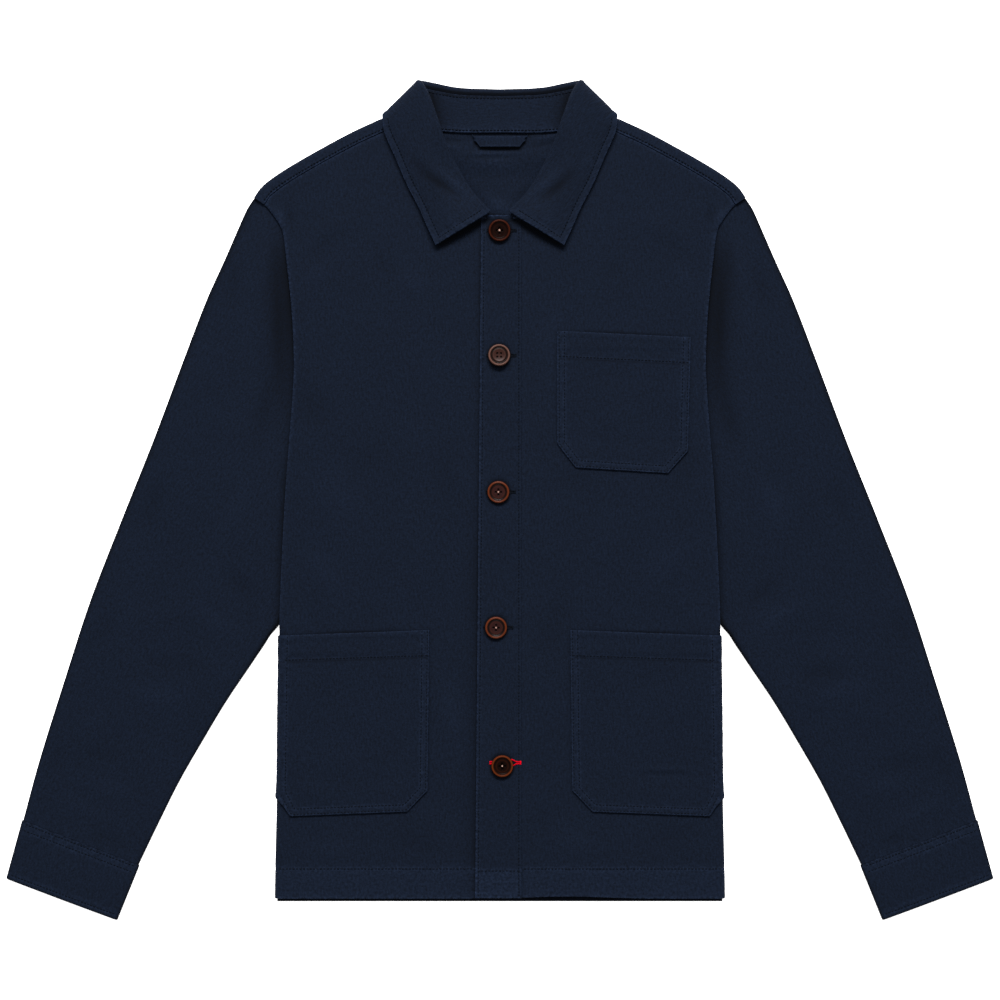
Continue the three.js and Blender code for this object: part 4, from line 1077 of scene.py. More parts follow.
def pocket_outline(spec, inset):
    """Path of a line sewn inside a pocket's outline, from mouth to mouth round its bottom."""
    inner, outer = pocket_ends(spec, np.array([0.0, 1.0, 2.0]))
    corners = np.array([inner[2], inner[1], inner[0], outer[0], outer[1], outer[2]])
    runs = np.diff(corners, axis=0)
    runs /= np.linalg.norm(runs, axis=1, keepdims=True)
    inward = np.stack([-runs[:, 1], runs[:, 0]], axis=1)
    starts, ends = corners[:-1] + inward * inset, corners[1:] + inward * inset
    path = [starts[0]]
    for k in range(len(runs) - 1):
        across = np.linalg.solve(np.stack([runs[k], -runs[k + 1]], axis=1), starts[k + 1] - starts[k])
        path.append(starts[k] + runs[k] * across[0])
    path.append(ends[-1])
    return [tuple(point) for point in path]


def pocket_mouth_line(spec, depth):
    inner, outer = pocket_ends(spec, np.array(2 - depth / (spec["inner"][2, 1] - spec["inner"][1, 1])))
    return [tuple(mix(inner, outer, 0.01)), tuple(mix(inner, outer, 0.99))]


POCKET_STITCH = {"edge": 1.8, "double": 6.6}


def pocket_relief(name, spec, side, half, y):
    """Sewn lines round the pocket and under its mouth, the swell of its free middle, and creases."""
    span = (y - spec["inner"][0, 1]) / (spec["inner"][2, 1] - spec["inner"][0, 1])
    inner, outer = pocket_ends(spec, np.clip(span * 2, 0, 2))
    across = np.clip((half - inner[..., 0]) / (outer[..., 0] - inner[..., 0]), 0, 1)
    swell = POCKET_SWELL["middle"] * np.sin(np.pi * across) * np.sin(np.pi * np.clip(span, 0, 1))
    foot = POCKET_SWELL["foot"] * (1 - smooth(span, 0.1, 0.2))
    relief = folds(POCKET_CREASES[name], side * half, y)
    for i, inset in enumerate(POCKET_STITCH.values()):
        relief += sewn(pocket_outline(spec, inset), half, y, 2.0 + i, depth=0.26, pucker=0.1, spread=3.5)
    relief += sewn(pocket_mouth_line(spec, POCKET_HEM["depth"]), half, y, 6, depth=0.35, pucker=0.14)
    mouth = smooth(span, 1 - (POCKET_HEM["depth"] + 0.5) / 165, 1 - (POCKET_HEM["depth"] - 1.5) / 165)
    return swell + foot + relief + POCKET_HEM["adds"] * mouth


def pocket_height(name, spec, side, half, y):
    relief = pocket_relief(name, spec, side, half, y)
    return front_height(side, half, y) + 2 * TWILL + SEAM_GAP + relief


def make_pocket(name, spec, side):
    """A patch pocket: a sheet on the front's form, moved out by the front's wall and its own."""
    width = spec["outer"][1, 0] - spec["inner"][1, 0]
    length = spec["inner"][2, 1] - spec["inner"][1, 1]
    level = np.concatenate([
        [0, 0.01, 0.025, 0.045], np.linspace(0.075, 1, 16)[:-1],
        1 + spaced(length, 1.7, start=np.array([0, 1.7])),
    ])
    across = spaced(width, 1.7)
    inner, outer = pocket_ends(spec, level)
    plan = mix(inner[:, None], outer[:, None], across[None, :, None])
    half, y = plan[..., 0], plan[..., 1]
    grid = np.concatenate([plan, front_height(side, half, y)[..., None]], axis=-1)
    outline = near(pocket_outline(spec, 0.0), half, y)[0]
    edge = np.minimum(outline, reach(grid, 0, end=True))
    relief = pocket_relief(name, spec, side, half, y)
    base = TWILL + SEAM_GAP
    round_off = lip(edge)
    above = base + TWILL * (0.5 + 0.5 * round_off) + relief + 0.25 * bell(edge - 3, 2.4)
    below = base + TWILL * (0.5 - 0.5 * round_off)
    stitch = np.minimum(near(pocket_outline(spec, POCKET_STITCH["double"]), half, y)[0],
                        near(pocket_mouth_line(spec, POCKET_HEM["depth"]), half, y)[0])
    below_mouth = near(pocket_mouth_line(spec, POCKET_HEM["depth"] + 1.6), half, y)[0]
    wear_and_highlight = 0.75 * fade(edge, 0.9) + 0.14 * (1 - smooth(outline, 6, 9))
    wear_and_highlight += 0.35 * bell(stitch, 1.6)
    # Painted shade under the hem of the mouth.
    painted_shade = 0.55 * bell(below_mouth, 1.1) * smooth(outline, 0, 4)
    shell = wall(on_side(side, grid), facing(side, above), facing(side, below))
    grain = facing(side, np.stack([side * half, y], axis=-1))
    piece = add_cloth(f"{name}_cloth", name, shell, grain, facing(side, wear_and_highlight), facing(side, painted_shade))
    return piece


# Hanger loop


def make_loop():
    """The hanger loop: a flat strip with slanted ends that bows up off the back."""
    floor = NECK_RAISE["height"] + TWILL + SEAM_GAP + LOOP["stand_off"]
    edge_steps = np.array([0, 0.3, 0.8, 1.5])
    rows = spaced(12, 1, start=edge_steps, end=edge_steps)
    up, across = np.meshgrid(rows, np.linspace(-1, 1, 61), indexing="ij")
    top = np.where(np.abs(across) == 1, LOOP["seat"], LOOP["top"])
    half = mix(LOOP["foot_half"], LOOP["end_half"], up)
    z = floor + LOOP["lift"] * cos(90 * across)
    grid = np.stack([across * half, mix(LOOP["bottom"], top, up), z], axis=-1)
    edges = np.minimum.reduce([reach(grid, 0), reach(grid, 0, True), reach(grid, 1), reach(grid, 1, True)])
    thickness = LOOP["wall"] * lip(edges, 0.7)
    wear_and_highlight = 0.8 * fade(edges, 1.2)
    low = (LOOP["wall"] - thickness) / 2
    shell = wall(grid, low + thickness, low)
    piece = add_cloth("hanger_loop_cloth", "hanger_loop", shell, grid[..., :2], wear_and_highlight)
    return piece


# Sewing

# One stitch as a closed bar: along, across and out, as shares of its length, width and width
STITCH_RINGS = ((-0.5, 0.55, -0.35), (-0.28, 1, 0.12), (0.28, 1, 0.12), (0.5, 0.55, -0.35))
STITCH_BAR = np.array([
    (along_share, across_share * size, out_share * size + lift)
    for along_share, size, lift in STITCH_RINGS
    for across_share, out_share in ((-0.5, -0.4), (0.5, -0.4), (0.5, 0.4), (-0.5, 0.4))
])
STITCH_FACES = np.array([(0, 3, 2, 1), (12, 13, 14, 15)] + [
    (4 * ring + s, 4 * ring + (s + 1) % 4, 4 * ring + 4 + (s + 1) % 4, 4 * ring + 4 + s)
    for ring in range(3) for s in range(4)
])


def stitches(path, pitch, length, width):
    """Stitches along a path of points: each is the bar, turned along the path and set on it."""
    path = np.asarray(path, float)
    run = np.append(0, np.cumsum(np.linalg.norm(np.diff(path, axis=0), axis=1)))
    count = max(1, int(run[-1] / pitch))
    centres = (np.arange(count) + 0.5) * run[-1] / count
    place = lambda at: np.stack([np.interp(at, run, path[:, axis]) for axis in range(3)], axis=-1)
    way = place(centres + 0.4) - place(centres - 0.4)
    way /= np.linalg.norm(way, axis=1, keepdims=True)
    side = np.cross(np.array([0, 0, 1.0]), way)
    side /= np.linalg.norm(side, axis=1, keepdims=True)
    out = np.cross(way, side)
    bar = STITCH_BAR * np.array([length, width, width])
    offsets = bar @ np.stack([way, side, out], axis=1)
    points = (place(centres)[:, None] + offsets).reshape(-1, 3)
    quads = (STITCH_FACES[None] + 16 * np.arange(count)[:, None, None]).reshape(-1, 4)
    return points, quads


def joined(parts):
    """Several meshes of points and faces as one."""
    starts = np.cumsum([0] + [len(points) for points, _ in parts[:-1]])
    faces = [quads + start for start, (_, quads) in zip(starts, parts)]
    return np.concatenate([points for points, _ in parts]), np.concatenate(faces)


def densify(path, step=2.0):
    """A path of straight lines with a point every few millimetres, as an array of (half, y)."""
    path = np.asarray(path, float)
    run = np.append(0, np.cumsum(np.linalg.norm(np.diff(path, axis=0), axis=1)))
    at = np.linspace(0, run[-1], max(2, int(run[-1] / step)))
    return np.stack([np.interp(at, run, path[:, 0]), np.interp(at, run, path[:, 1])], axis=-1)


def on_surface(path, height, side=1):
    """A sewn line in the frame: its (half, y) points with the height of the surface there."""
    plan = densify(path)
    return np.stack([side * plan[:, 0], plan[:, 1], height(plan[:, 0], plan[:, 1])], axis=-1)


def add_sewing(name, paths):
    """All sewn lines of a piece as one mesh of stitches."""
    cloth = bpy.context.scene.jacket_cloth
    sizes = cloth.stitch_pitch / MM, cloth.stitch_length / MM, cloth.thread_width / MM
    points, quads = joined([stitches(path, *sizes) for path in paths])
    piece = add_mesh(name, points, quads, thread_material(), sharp=80)
    return piece


def sew_fronts():
    for side, name in ((-1, "right"), (1, "left")):
        height = lambda half, y: front_height(side, half, y) + TWILL + front_relief(side, half, y)
        start = -BAND["left_hem"] + 2 if side < 0 else BAND["right"] + 1.5
        add_sewing(f"sewing_front_{name}", [on_surface(hem_line(start, 203), height, side)])


def sew_band():
    left = [(float(band_left(y)) + 2.8, y) for y in (HEM_Y + 1, NECKLINE_CENTRE_Y - 12)]
    right = [(BAND["right"] - 2.6, y) for y in (HEM_Y + 1, NECKLINE_CENTRE_Y - 12)]
    lines = [left, right, hem_line(-21, 18, -340)]
    add_sewing("sewing_band", [on_surface(line, band_height) for line in lines])


def sew_pockets():
    for name, spec, side, _ in POCKETS:
        height = lambda half, y: pocket_height(name, spec, side, half, y)
        lines = [pocket_outline(spec, inset) for inset in POCKET_STITCH.values()]
        lines.append(pocket_mouth_line(spec, POCKET_HEM["depth"]))
        add_sewing(f"sewing_{name}", [on_surface(line, height, side) for line in lines])


def sew_shoulders():
    top = lambda half, y: SHOULDER_TOP * 0.958 + 0 * half
    paths = [on_surface(shoulder_line(9.2), top, side) for side in (-1, 1)]
    add_sewing("sewing_shoulders", paths)


def sew_cuffs():
    paths = []
    u = np.linspace(0.035, 0.965, 60)
    for at in CUFF_STITCH:
        point = cuff_plan()(u, 0 * u + at / CUFF_LENGTH)
        z = cuff_height(u) + cuff_relief(point[:, 0], point[:, 1])
        for side in (-1, 1):
            paths.append(np.stack([side * point[:, 0], point[:, 1], z], axis=-1))
    for side, name in ((0, "right"), (1, "left")):
        add_sewing(f"sewing_cuff_{name}", paths[side::2])


def sew_collar():
    """Topstitching inside the fall's outer edge and ends, and along both edges of the stand."""
    share = np.linspace(0.52, 0.979, 160)
    frame_at = collar_frame(share)
    length = np.linalg.norm(frame_at[2] - frame_at[1] - frame_at[5] * frame_at[3], axis=-1)
    edge = fall_point(share, 3 - COLLAR_STITCH / length)
    t = np.linspace(3 - COLLAR_STITCH / length[-1], 2.06, 40)
    end = fall_point(np.full(t.shape, 0.979), t)
    line = np.concatenate([edge, end[1:]])
    line[:, 2] += COLLAR_WALL / 2 - 0.1
    seam_share = np.linspace(0, 0.30, 90)
    seam = stand_point(seam_share, 0 * seam_share + 2.2 / 34)
    seam[:, 2] += COLLAR_WALL / 2 + 0.05
    rim_share = np.linspace(0, 0.42, 110)
    rim = stand_point(rim_share, 0 * rim_share + 0.93)
    rim[:, 2] += COLLAR_WALL / 2 + 0.1
    paths = [points * np.array([side, 1, 1]) for points in (line, seam, rim) for side in (-1, 1)]
    add_sewing("sewing_collar", paths)


# Buttons and buttonholes


BUTTON_RIM = [(8.2, 2.9), (8.8, 3.16), (9.3, 3.1), (9.8, 2.75), (10.1, 2.1), (10.1, 1.1), (9.8, 0.5),
              (8.7, 0.05), (6, 0)]
DISH = [(0, 1.5), (2, 1.52), (4.3, 1.58), (5.6, 1.62), (6.6, 1.7), (7.2, 1.95), (7.7, 2.4)]
GROOVED_DISH = [(0, 1.5), (2, 1.58), (4.3, 1.85), (5.7, 2.2), (6.2, 2.15), (6.7, 1.6), (7.4, 1.7)]
GROOVED_BUTTON = 1
# These three have a rubbed, dusty dish and painted shade in the dip beside the rim
RUBBED_BUTTONS = (1, 2, 3)
HOLE = {"out": 1.7, "radius": 0.95, "depth": 1.35}
BUTTON_TILT = [(1.5, 2), (-7, 3), (2.5, -2), (3, 1.5), (1, 3)]
BUTTON_SPIN = [45, 0, 45, 42, 48]


def button_grid(profile):
    """A turned button: the profile carried round a circle, with four holes sunk into its dish."""
    inner = np.linspace(0, 4.2, 22)
    outer_run = np.linspace(0, 1, 40)
    run = reach(profile[None], 1)[0]
    start = float(np.interp(4.2, profile[:3, 0], run[:3]))
    rest = np.stack([np.interp(mix(start, run[-1], outer_run), run, profile[:, k]) for k in (0, 1)], -1)
    radius = np.append(inner[:-1], rest[:, 0])
    height = np.append(np.interp(inner[:-1], profile[:3, 0], profile[:3, 1]), rest[:, 1])
    angle = np.linspace(0, 2 * np.pi, 97)[:-1] + np.pi / 4
    r, a = np.meshgrid(radius, angle, indexing="ij")
    x, y = r * np.cos(a), r * np.sin(a)
    hole = np.hypot(np.abs(x) - HOLE["out"], np.abs(y) - HOLE["out"])
    z = height[:, None] - HOLE["depth"] * (1 - smooth(hole, HOLE["radius"] - 0.25, HOLE["radius"] + 0.12))
    return np.stack([x, y, z], axis=-1)


def tilted(points, tilt):
    """Points turned about X, then about Y, by small angles in degrees."""
    about_x = np.array([[1, 0, 0], [0, cos(tilt[0]), -sin(tilt[0])], [0, sin(tilt[0]), cos(tilt[0])]])
    about_y = np.array([[cos(tilt[1]), 0, sin(tilt[1])], [0, 1, 0], [-sin(tilt[1]), 0, cos(tilt[1])]])
    return points @ (about_y @ about_x).T


def spun(points, degrees):
    """Points turned about Z."""
    about_z = np.array([[cos(degrees), -sin(degrees), 0], [sin(degrees), cos(degrees), 0], [0, 0, 1]])
    return points @ about_z.T


def button_seat(x, y):
    return float(front_level(-1, -x, y)) + TWILL + BAND_WALL + 2 * SEAM_GAP


def make_button(index, place):
    x, y = place
    grid = button_grid(np.array([*(GROOVED_DISH if index == GROOVED_BUTTON else DISH), *BUTTON_RIM]))
    rows, columns = grid.shape[:2]
    i, j = np.mgrid[0 : rows - 1, 0:columns]
    at = lambda row, column: (row * columns + column % columns).ravel()
    quads = np.stack([at(i, j), at(i + 1, j), at(i + 1, j + 1), at(i, j + 1)], axis=1)
    points = grid.reshape(-1, 3)
    closing = np.arange(columns // 2 - 1)
    last = (rows - 1) * columns
    across = last + columns - 1 - closing
    cap = np.stack([last + closing, across, across - 1, last + closing + 1], axis=1)
    points = tilted(spun(points, BUTTON_SPIN[index]), BUTTON_TILT[index])
    lift = max(0.0, 0.25 - points[:, 2].min())
    points = points + np.array([x, y, button_seat(x, y) + lift - 0.25])
    quads = np.concatenate([quads, cap])
    piece = add_mesh(f"button_{index + 1}_turned", points, quads, button_material(index), sharp=60)
    # Paler on the rim's crest, partly its own colour and partly painted highlight; painted shade in the
    # holes, and in the dip beside the rim of the rubbed ones.
    radius = np.hypot(grid[..., 0], grid[..., 1])
    crest = bell(radius - 9.1, 0.85) + 0.12 * bell(radius - 5.4, 0.5)
    hole = np.hypot(np.abs(grid[..., 0]) - HOLE["out"], np.abs(grid[..., 1]) - HOLE["out"])
    hole_and_dip_shade = 1 - smooth(hole, 0.75, 1.1)
    if index in RUBBED_BUTTONS:
        hole_and_dip_shade = np.maximum(hole_and_dip_shade, bell(radius - 7, 0.85))
    for key, values in (("wear_and_highlight", crest), ("painted_shade", hole_and_dip_shade)):
        write_field(piece.data, key, values.ravel())
    merge_close(piece)
    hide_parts(f"button_{index + 1}")
    return piece


def merge_close(piece):
    """Joins the points that meet in a pole."""
    work = bmesh.new()
    work.from_mesh(piece.data)
    bmesh.ops.remove_doubles(work, verts=work.verts, dist=1e-6)
    bmesh.ops.dissolve_degenerate(work, edges=work.edges, dist=1e-7)
    bmesh.ops.recalc_face_normals(work, faces=work.faces)
    work.to_mesh(piece.data)
    work.free()


def make_button_thread(index, place):
    """Thread that crosses between the four holes, as bars over the dish."""
    x, y = place
    out = 0.85
    z = DISH[0][1] + 0.1
    strands = []
    for (ax, ay), (bx, by) in (((-out, -out), (out, out)), ((-out, out), (out, -out))):
        for shift in (-0.3, 0.3):
            run = np.linspace(0, 1, 9)
            px, py = mix(ax, bx, run), mix(ay, by, run)
            nx, ny = -(by - ay), bx - ax
            norm = math.hypot(nx, ny)
            bow = z - 0.3 + 0.5 * np.sin(np.pi * run)
            strands.append(np.stack([px + shift * nx / norm, py + shift * ny / norm, bow], -1))
    turned = [tilted(spun(strand, BUTTON_SPIN[index]), BUTTON_TILT[index]) for strand in strands]
    tubes = [thread_tube(strand, 0.16 if index == GROOVED_BUTTON else 0.34) for strand in turned]
    points, quads = joined(tubes)
    points = points + np.array([x, y, button_seat(x, y)])
    piece = add_mesh(f"button_{index + 1}_thread", points, quads, button_thread_material(), sharp=80)
    return piece


def thread_tube(path, radius, sides=6):
    """A thin round thread: a circle carried along a path, closed by narrowing its two ends."""
    way = np.gradient(path, axis=0)
    way /= np.linalg.norm(way, axis=1, keepdims=True)
    side = np.cross(way, np.array([0, 0, 1.0]) + 0 * way)
    side /= np.maximum(np.linalg.norm(side, axis=1, keepdims=True), 1e-9)
    out = np.cross(side, way)
    angle = np.linspace(0, 2 * np.pi, sides + 1)[:-1]
    size = np.full(len(path), radius)
    size[[0, -1]] *= 0.25
    ring = side[:, None] * np.cos(angle)[None, :, None] + out[:, None] * np.sin(angle)[None, :, None]
    points = path[:, None] + ring * size[:, None, None]
    rows = len(path)
    i, j = np.mgrid[0 : rows - 1, 0:sides]
    at = lambda row, column: (row * sides + column % sides).ravel()
    quads = np.stack([at(i, j), at(i, j + 1), at(i + 1, j + 1), at(i + 1, j)], axis=1)
    last = (rows - 1) * sides
    caps = np.array([(0, 5, 4, 1), (1, 4, 3, 2), (last, last + 1, last + 4, last + 5),
                     (last + 1, last + 2, last + 3, last + 4)])
    return points.reshape(-1, 3), np.concatenate([quads, caps])


BUTTONHOLE = {"start": -11.4, "end": 15, "red_end": 16.6, "bead": 0.85, "spread": 1.9,
              "pitch": 0.75, "bar": 1.5, "red_rise": 2.8}


def make_buttonhole(index, place):
    """A buttonhole: bars of thread side by side round a slit, a bar tack at its far end, and a dark sheet
    in the slit for painted shade.
    """
    x, y = place
    red = index == len(BUTTONS) - 1
    y += BUTTONHOLE["red_rise"] if red else 0
    low, high = x + BUTTONHOLE["start"], x + BUTTONHOLE["red_end" if red else "end"]
    at = np.arange(low, high, BUTTONHOLE["pitch"])
    parts = []
    for side in (-1, 1):
        open_share = 1 - smooth(at, x + BUTTON_RADIUS - 1, high - 1)
        spread = BUTTONHOLE["spread"] if red else 0.6 * BUTTONHOLE["spread"]
        middle = y + side * (BUTTONHOLE["bead"] + spread * open_share ** 2)
        middle = np.where(at < x, y + side * BUTTONHOLE["bead"], middle)
        z = band_height(at, middle) + 0.12
        across = np.linspace(-0.5, 0.5, 5) * BUTTONHOLE["bar"]
        arch = 0.22 * np.cos(np.linspace(-1.4, 1.4, 5))
        for px, py, pz in zip(at, middle, z):
            parts.append(thread_tube(np.stack([np.full(5, px), py + across, pz + arch], axis=-1), 0.33))
    for end in (high, high + 0.6):
        ys = np.linspace(-1.9, 1.9, 7)
        z = band_height(np.full(7, end), y + ys) + 0.25
        parts.append(thread_tube(np.stack([np.full(7, end), y + ys, z], -1), 0.35))
    points, quads = joined(parts)
    material = red_thread_material() if red else thread_material()
    piece = add_mesh(f"buttonhole_{index + 1}", points, quads, material, sharp=80)
    # Painted shade: a thin dark sheet lies in the slit where it opens.
    slit_x = np.linspace(low + 1, high - 0.6, 24)[:, None] + np.zeros((1, 5))
    gape = 0.25 + 0.9 * (1 - smooth(slit_x[:, :1], x + BUTTON_RADIUS, high - 3))
    slit_y = y + np.linspace(-1, 1, 5)[None, :] * gape
    grid = np.stack([slit_x, slit_y, band_height(slit_x, slit_y) + 0.04], axis=-1).transpose(1, 0, 2)
    points, quads = wall(grid, 0.05, -0.05)
    slit = add_mesh(f"buttonhole_{index + 1}_slit", points, quads, slit_shade_material(), sharp=80)
    return piece


# Materials


def linear(colour):
    """sRGB hex to linear RGBA."""
    parts = [int(colour[i : i + 2], 16) / 255 for i in (1, 3, 5)]
    return tuple(c / 12.92 if c <= 0.04045 else ((c + 0.055) / 1.055) ** 2.4 for c in parts) + (1.0,)


def opaque(colour, share=1.0):
    """A share of a linear colour, with an alpha of 1."""
    return tuple(part * share for part in tuple(colour)[:3]) + (1.0,)


def fill(tree, node, inputs):
    """Fills a node's inputs with values or links."""
    for key, value in inputs.items():
        if isinstance(value, bpy.types.NodeSocket):
            tree.links.new(value, node.inputs[key])
        else:
            node.inputs[key].default_value = value


def add_node(tree, kind, inputs=None, **settings):
    """Adds one node, sets its properties and fills its inputs."""
    made = tree.nodes.new(kind)
    for key, value in settings.items():
        setattr(made, key, value)
    fill(tree, made, inputs or {})
    return made


def noise(tree, where, size, detail, **inputs):
    """Cloudy noise with spots of about one size."""
    inputs = {"Vector": where, "Scale": 1 / size, "Detail": detail, **inputs}
    return add_node(tree, "ShaderNodeTexNoise", inputs).outputs["Fac"]


def map_range(tree, value, source, target):
    """A value carried from one range to another."""
    ends = dict(zip(("From Min", "From Max", "To Min", "To Max"), source + target))
    return add_node(tree, "ShaderNodeMapRange", {"Value": value, **ends}).outputs["Result"]


def calculate(tree, operation, first, second):
    return add_node(tree, "ShaderNodeMath", {0: first, 1: second}, operation=operation).outputs[0]


def colour_mix(tree, share, first, second, **settings):
    """Mixes two colours. The node has several sockets of each name, so the ones for colours go by index."""
    inputs = {0: share, 6: first, 7: second}
    return add_node(tree, "ShaderNodeMix", inputs, data_type="RGBA", **settings).outputs[2]


def bump(tree, height, strength, distance, **inputs):
    inputs = {"Height": height, "Strength": strength, "Distance": distance, **inputs}
    return add_node(tree, "ShaderNodeBump", inputs).outputs["Normal"]


def point_field(tree, name):
    """A value that is written for each point of a mesh."""
    return add_node(tree, "ShaderNodeAttribute", attribute_name=name).outputs["Fac"]


def object_place(tree):
    return add_node(tree, "ShaderNodeTexCoord").outputs["Object"]


def new_material(name):
    """A new material with its shader, or the one of that name that is there already."""
    found = bpy.data.materials.get(name)
    if found:
        return found, None, None
    material = bpy.data.materials.new(name)
    material.use_nodes = True
    tree = material.node_tree
    tree.nodes.clear()
    shader = add_node(tree, "ShaderNodeBsdfPrincipled")
    add_node(tree, "ShaderNodeOutputMaterial", {"Surface": shader.outputs["BSDF"]})
    return material, tree, shader


def twill_material():
    """Cotton twill, piece dyed and garment washed: dull, with a fine diagonal grain, a soft mottle where
    the dye has washed unevenly, painted shade that darkens the cloth in folds, beside raised parts and
    along outlines, and paler lines where edges and seams have rubbed, with painted highlight on ridges."""
    material, tree, shader = new_material("cotton_twill")
    if tree is None:
        return material
    cloth = bpy.context.scene.jacket_cloth
    uv = add_node(tree, "ShaderNodeUVMap", uv_map=CLOTH_UV).outputs["UV"]
    # Real twill lines are 0.7 mm apart, under a pixel, so the ones drawn are 1.7 mm apart.
    lines = add_node(tree, "ShaderNodeMapping", {"Vector": uv, "Rotation": (0, 0, math.radians(58)),
                                                 "Scale": (1 / 0.0017, 1 / 0.005, 1)})
    streak = noise(tree, lines.outputs["Vector"], 1.0, 3.0, Roughness=0.65)
    fleck = noise(tree, uv, 0.0019, 2.0, Roughness=0.7)
    mottle = noise(tree, uv, 0.035, 4.0, Roughness=0.6)
    grain = calculate(tree, "ADD", streak, fleck)
    tone = map_range(tree, grain, (0.7, 1.3), (0.5, 1.5))
    patchy = map_range(tree, mottle, (0.3, 0.7), (0.95, 1.05))
    level = calculate(tree, "MULTIPLY", tone, patchy)
    dyed = colour_mix(tree, level, (0, 0, 0, 1), opaque(cloth.twill_colour), clamp_factor=False)
    # Painted shade takes the cloth towards 0.12 of its colour.
    shaded = colour_mix(tree, point_field(tree, "painted_shade"), dyed, opaque(cloth.twill_colour, 0.12))
    # Puckers along sewn edges break the rubbed wear and painted highlight into ticks, about 3 mm apart as
    # the stitches are.
    pucker = noise(tree, uv, 0.0027, 1.0)
    wear_and_highlight = point_field(tree, "wear_and_highlight")
    rubbed = calculate(tree, "MULTIPLY", wear_and_highlight, map_range(tree, pucker, (0.36, 0.66), (0.1, 1.3)))
    wear_and_highlight_share = calculate(tree, "MULTIPLY", rubbed, cloth.wear_and_highlight_strength)
    waved = bump(tree, calculate(tree, "MULTIPLY", wear_and_highlight, pucker), 0.8, 0.001)
    fill(tree, shader, {
        "Base Color": colour_mix(tree, wear_and_highlight_share, shaded, opaque(cloth.wear_and_highlight_colour)),
        "Roughness": map_range(tree, grain, (0.7, 1.3), (0.78, 0.92)),
        "Normal": bump(tree, grain, 0.5, 0.0005, Normal=waved),
        "Specular IOR Level": 0.045,
        "Sheen Weight": 0.02,
        "Sheen Roughness": 0.5,
        "Sheen Tint": linear("#8fa6d8"),
    })
    return material


def plain_thread(name, colour):
    """Spun polyester thread, smoother than the cloth, with the fine twist of its plies."""
    material, tree, shader = new_material(name)
    if tree is None:
        return material
    twist = noise(tree, object_place(tree), 0.0006, 2.0)
    tone = map_range(tree, twist, (0.3, 0.7), (0.7, 1.3))
    fill(tree, shader, {
        "Base Color": colour_mix(tree, tone, (0, 0, 0, 1), opaque(colour), clamp_factor=False),
        "Roughness": map_range(tree, twist, (0, 1), (0.45, 0.75)),
        "Normal": bump(tree, twist, 0.4, 0.0001),
        "Specular IOR Level": 0.03,
    })
    return material


def thread_material():
    return plain_thread("navy_thread", bpy.context.scene.jacket_cloth.thread_colour)


def red_thread_material():
    return plain_thread("red_buttonhole_thread", bpy.context.scene.jacket_cloth.red_colour)


def button_thread_material():
    return plain_thread("pale_button_thread", bpy.context.scene.jacket_buttons.thread_colour)


# Painted shade in the slit, darker than the cloth.
def slit_shade_material():
    return plain_thread("painted_shade_in_slit", linear("#05070c"))


BUTTON_LOOKS = ["brown_button", "brown_button_pale", "brown_button_dusty", "brown_button_dusty",
                "brown_button_orange"]


def button_material(index):
    """Turned nut or cast resin, dyed brown and tumbled: a satin polish, cloudy brown with paler rings
    where the tool has cut across the grain, the ring on the rim's crest partly painted highlight, and
    painted shade in the holes and in the dip beside the rim of the rubbed ones."""
    material, tree, shader = new_material(BUTTON_LOOKS[index])
    if tree is None:
        return material
    buttons = bpy.context.scene.jacket_buttons
    cloud = noise(tree, object_place(tree), 0.006, 5.0, Roughness=0.65, Distortion=0.8)
    dark, pale = opaque(buttons.dark_colour), opaque(buttons.pale_colour)
    if index in RUBBED_BUTTONS:
        rubbed = buttons.scuffed_colour if index == GROOVED_BUTTON else buttons.dusty_colour
        dark, pale = opaque(rubbed, 0.6), opaque(rubbed, 1.4)
    crest = [buttons.rim_colour, buttons.chalky_colour, *[buttons.orange_colour] * 3][index]
    dish = colour_mix(tree, cloud, dark, pale)
    # The crest ring is partly the rim's paler colour and partly painted highlight.
    rimmed = colour_mix(tree, point_field(tree, "wear_and_highlight"), dish, opaque(crest))
    fill(tree, shader, {
        # Painted shade in the holes and the dip goes towards near black.
        "Base Color": colour_mix(tree, point_field(tree, "painted_shade"), rimmed, linear("#040201")),
        "Roughness": map_range(tree, cloud, (0, 1), (0.28, 0.45)),
        "Normal": bump(tree, noise(tree, object_place(tree), 0.0008, 2.0), 0.1, 0.0001),
        "Specular IOR Level": 0.07 if index in RUBBED_BUTTONS else 0.02,
    })
    return material


def floor_material():
    """White acrylic sheet lit from beneath, as product tables are: dead matt with the faintest mottle,
    and bright enough that shadows wash out of it."""
    material, tree, shader = new_material("white_lit_acrylic")
    if tree is None:
        return material
    mottle = noise(tree, object_place(tree), 0.004, 3.0)
    fill(tree, shader, {
        "Base Color": colour_mix(tree, mottle, linear("#f6f6f6"), linear("#fbfbfb")),
        "Roughness": 0.95,
        "Specular IOR Level": 0.0,
        "Emission Color": (1, 1, 1, 1),
        "Emission Strength": 0.7,
    })
    return material


# Settings


def colour_setting(name, description, colour):
    return FloatVectorProperty(name=name, description=description, subtype="COLOR", size=3, min=0, max=1,
                               default=linear(colour)[:3])


def length_setting(name, description, default, least):
    return FloatProperty(name=name, description=description, default=default, unit="LENGTH", min=least)


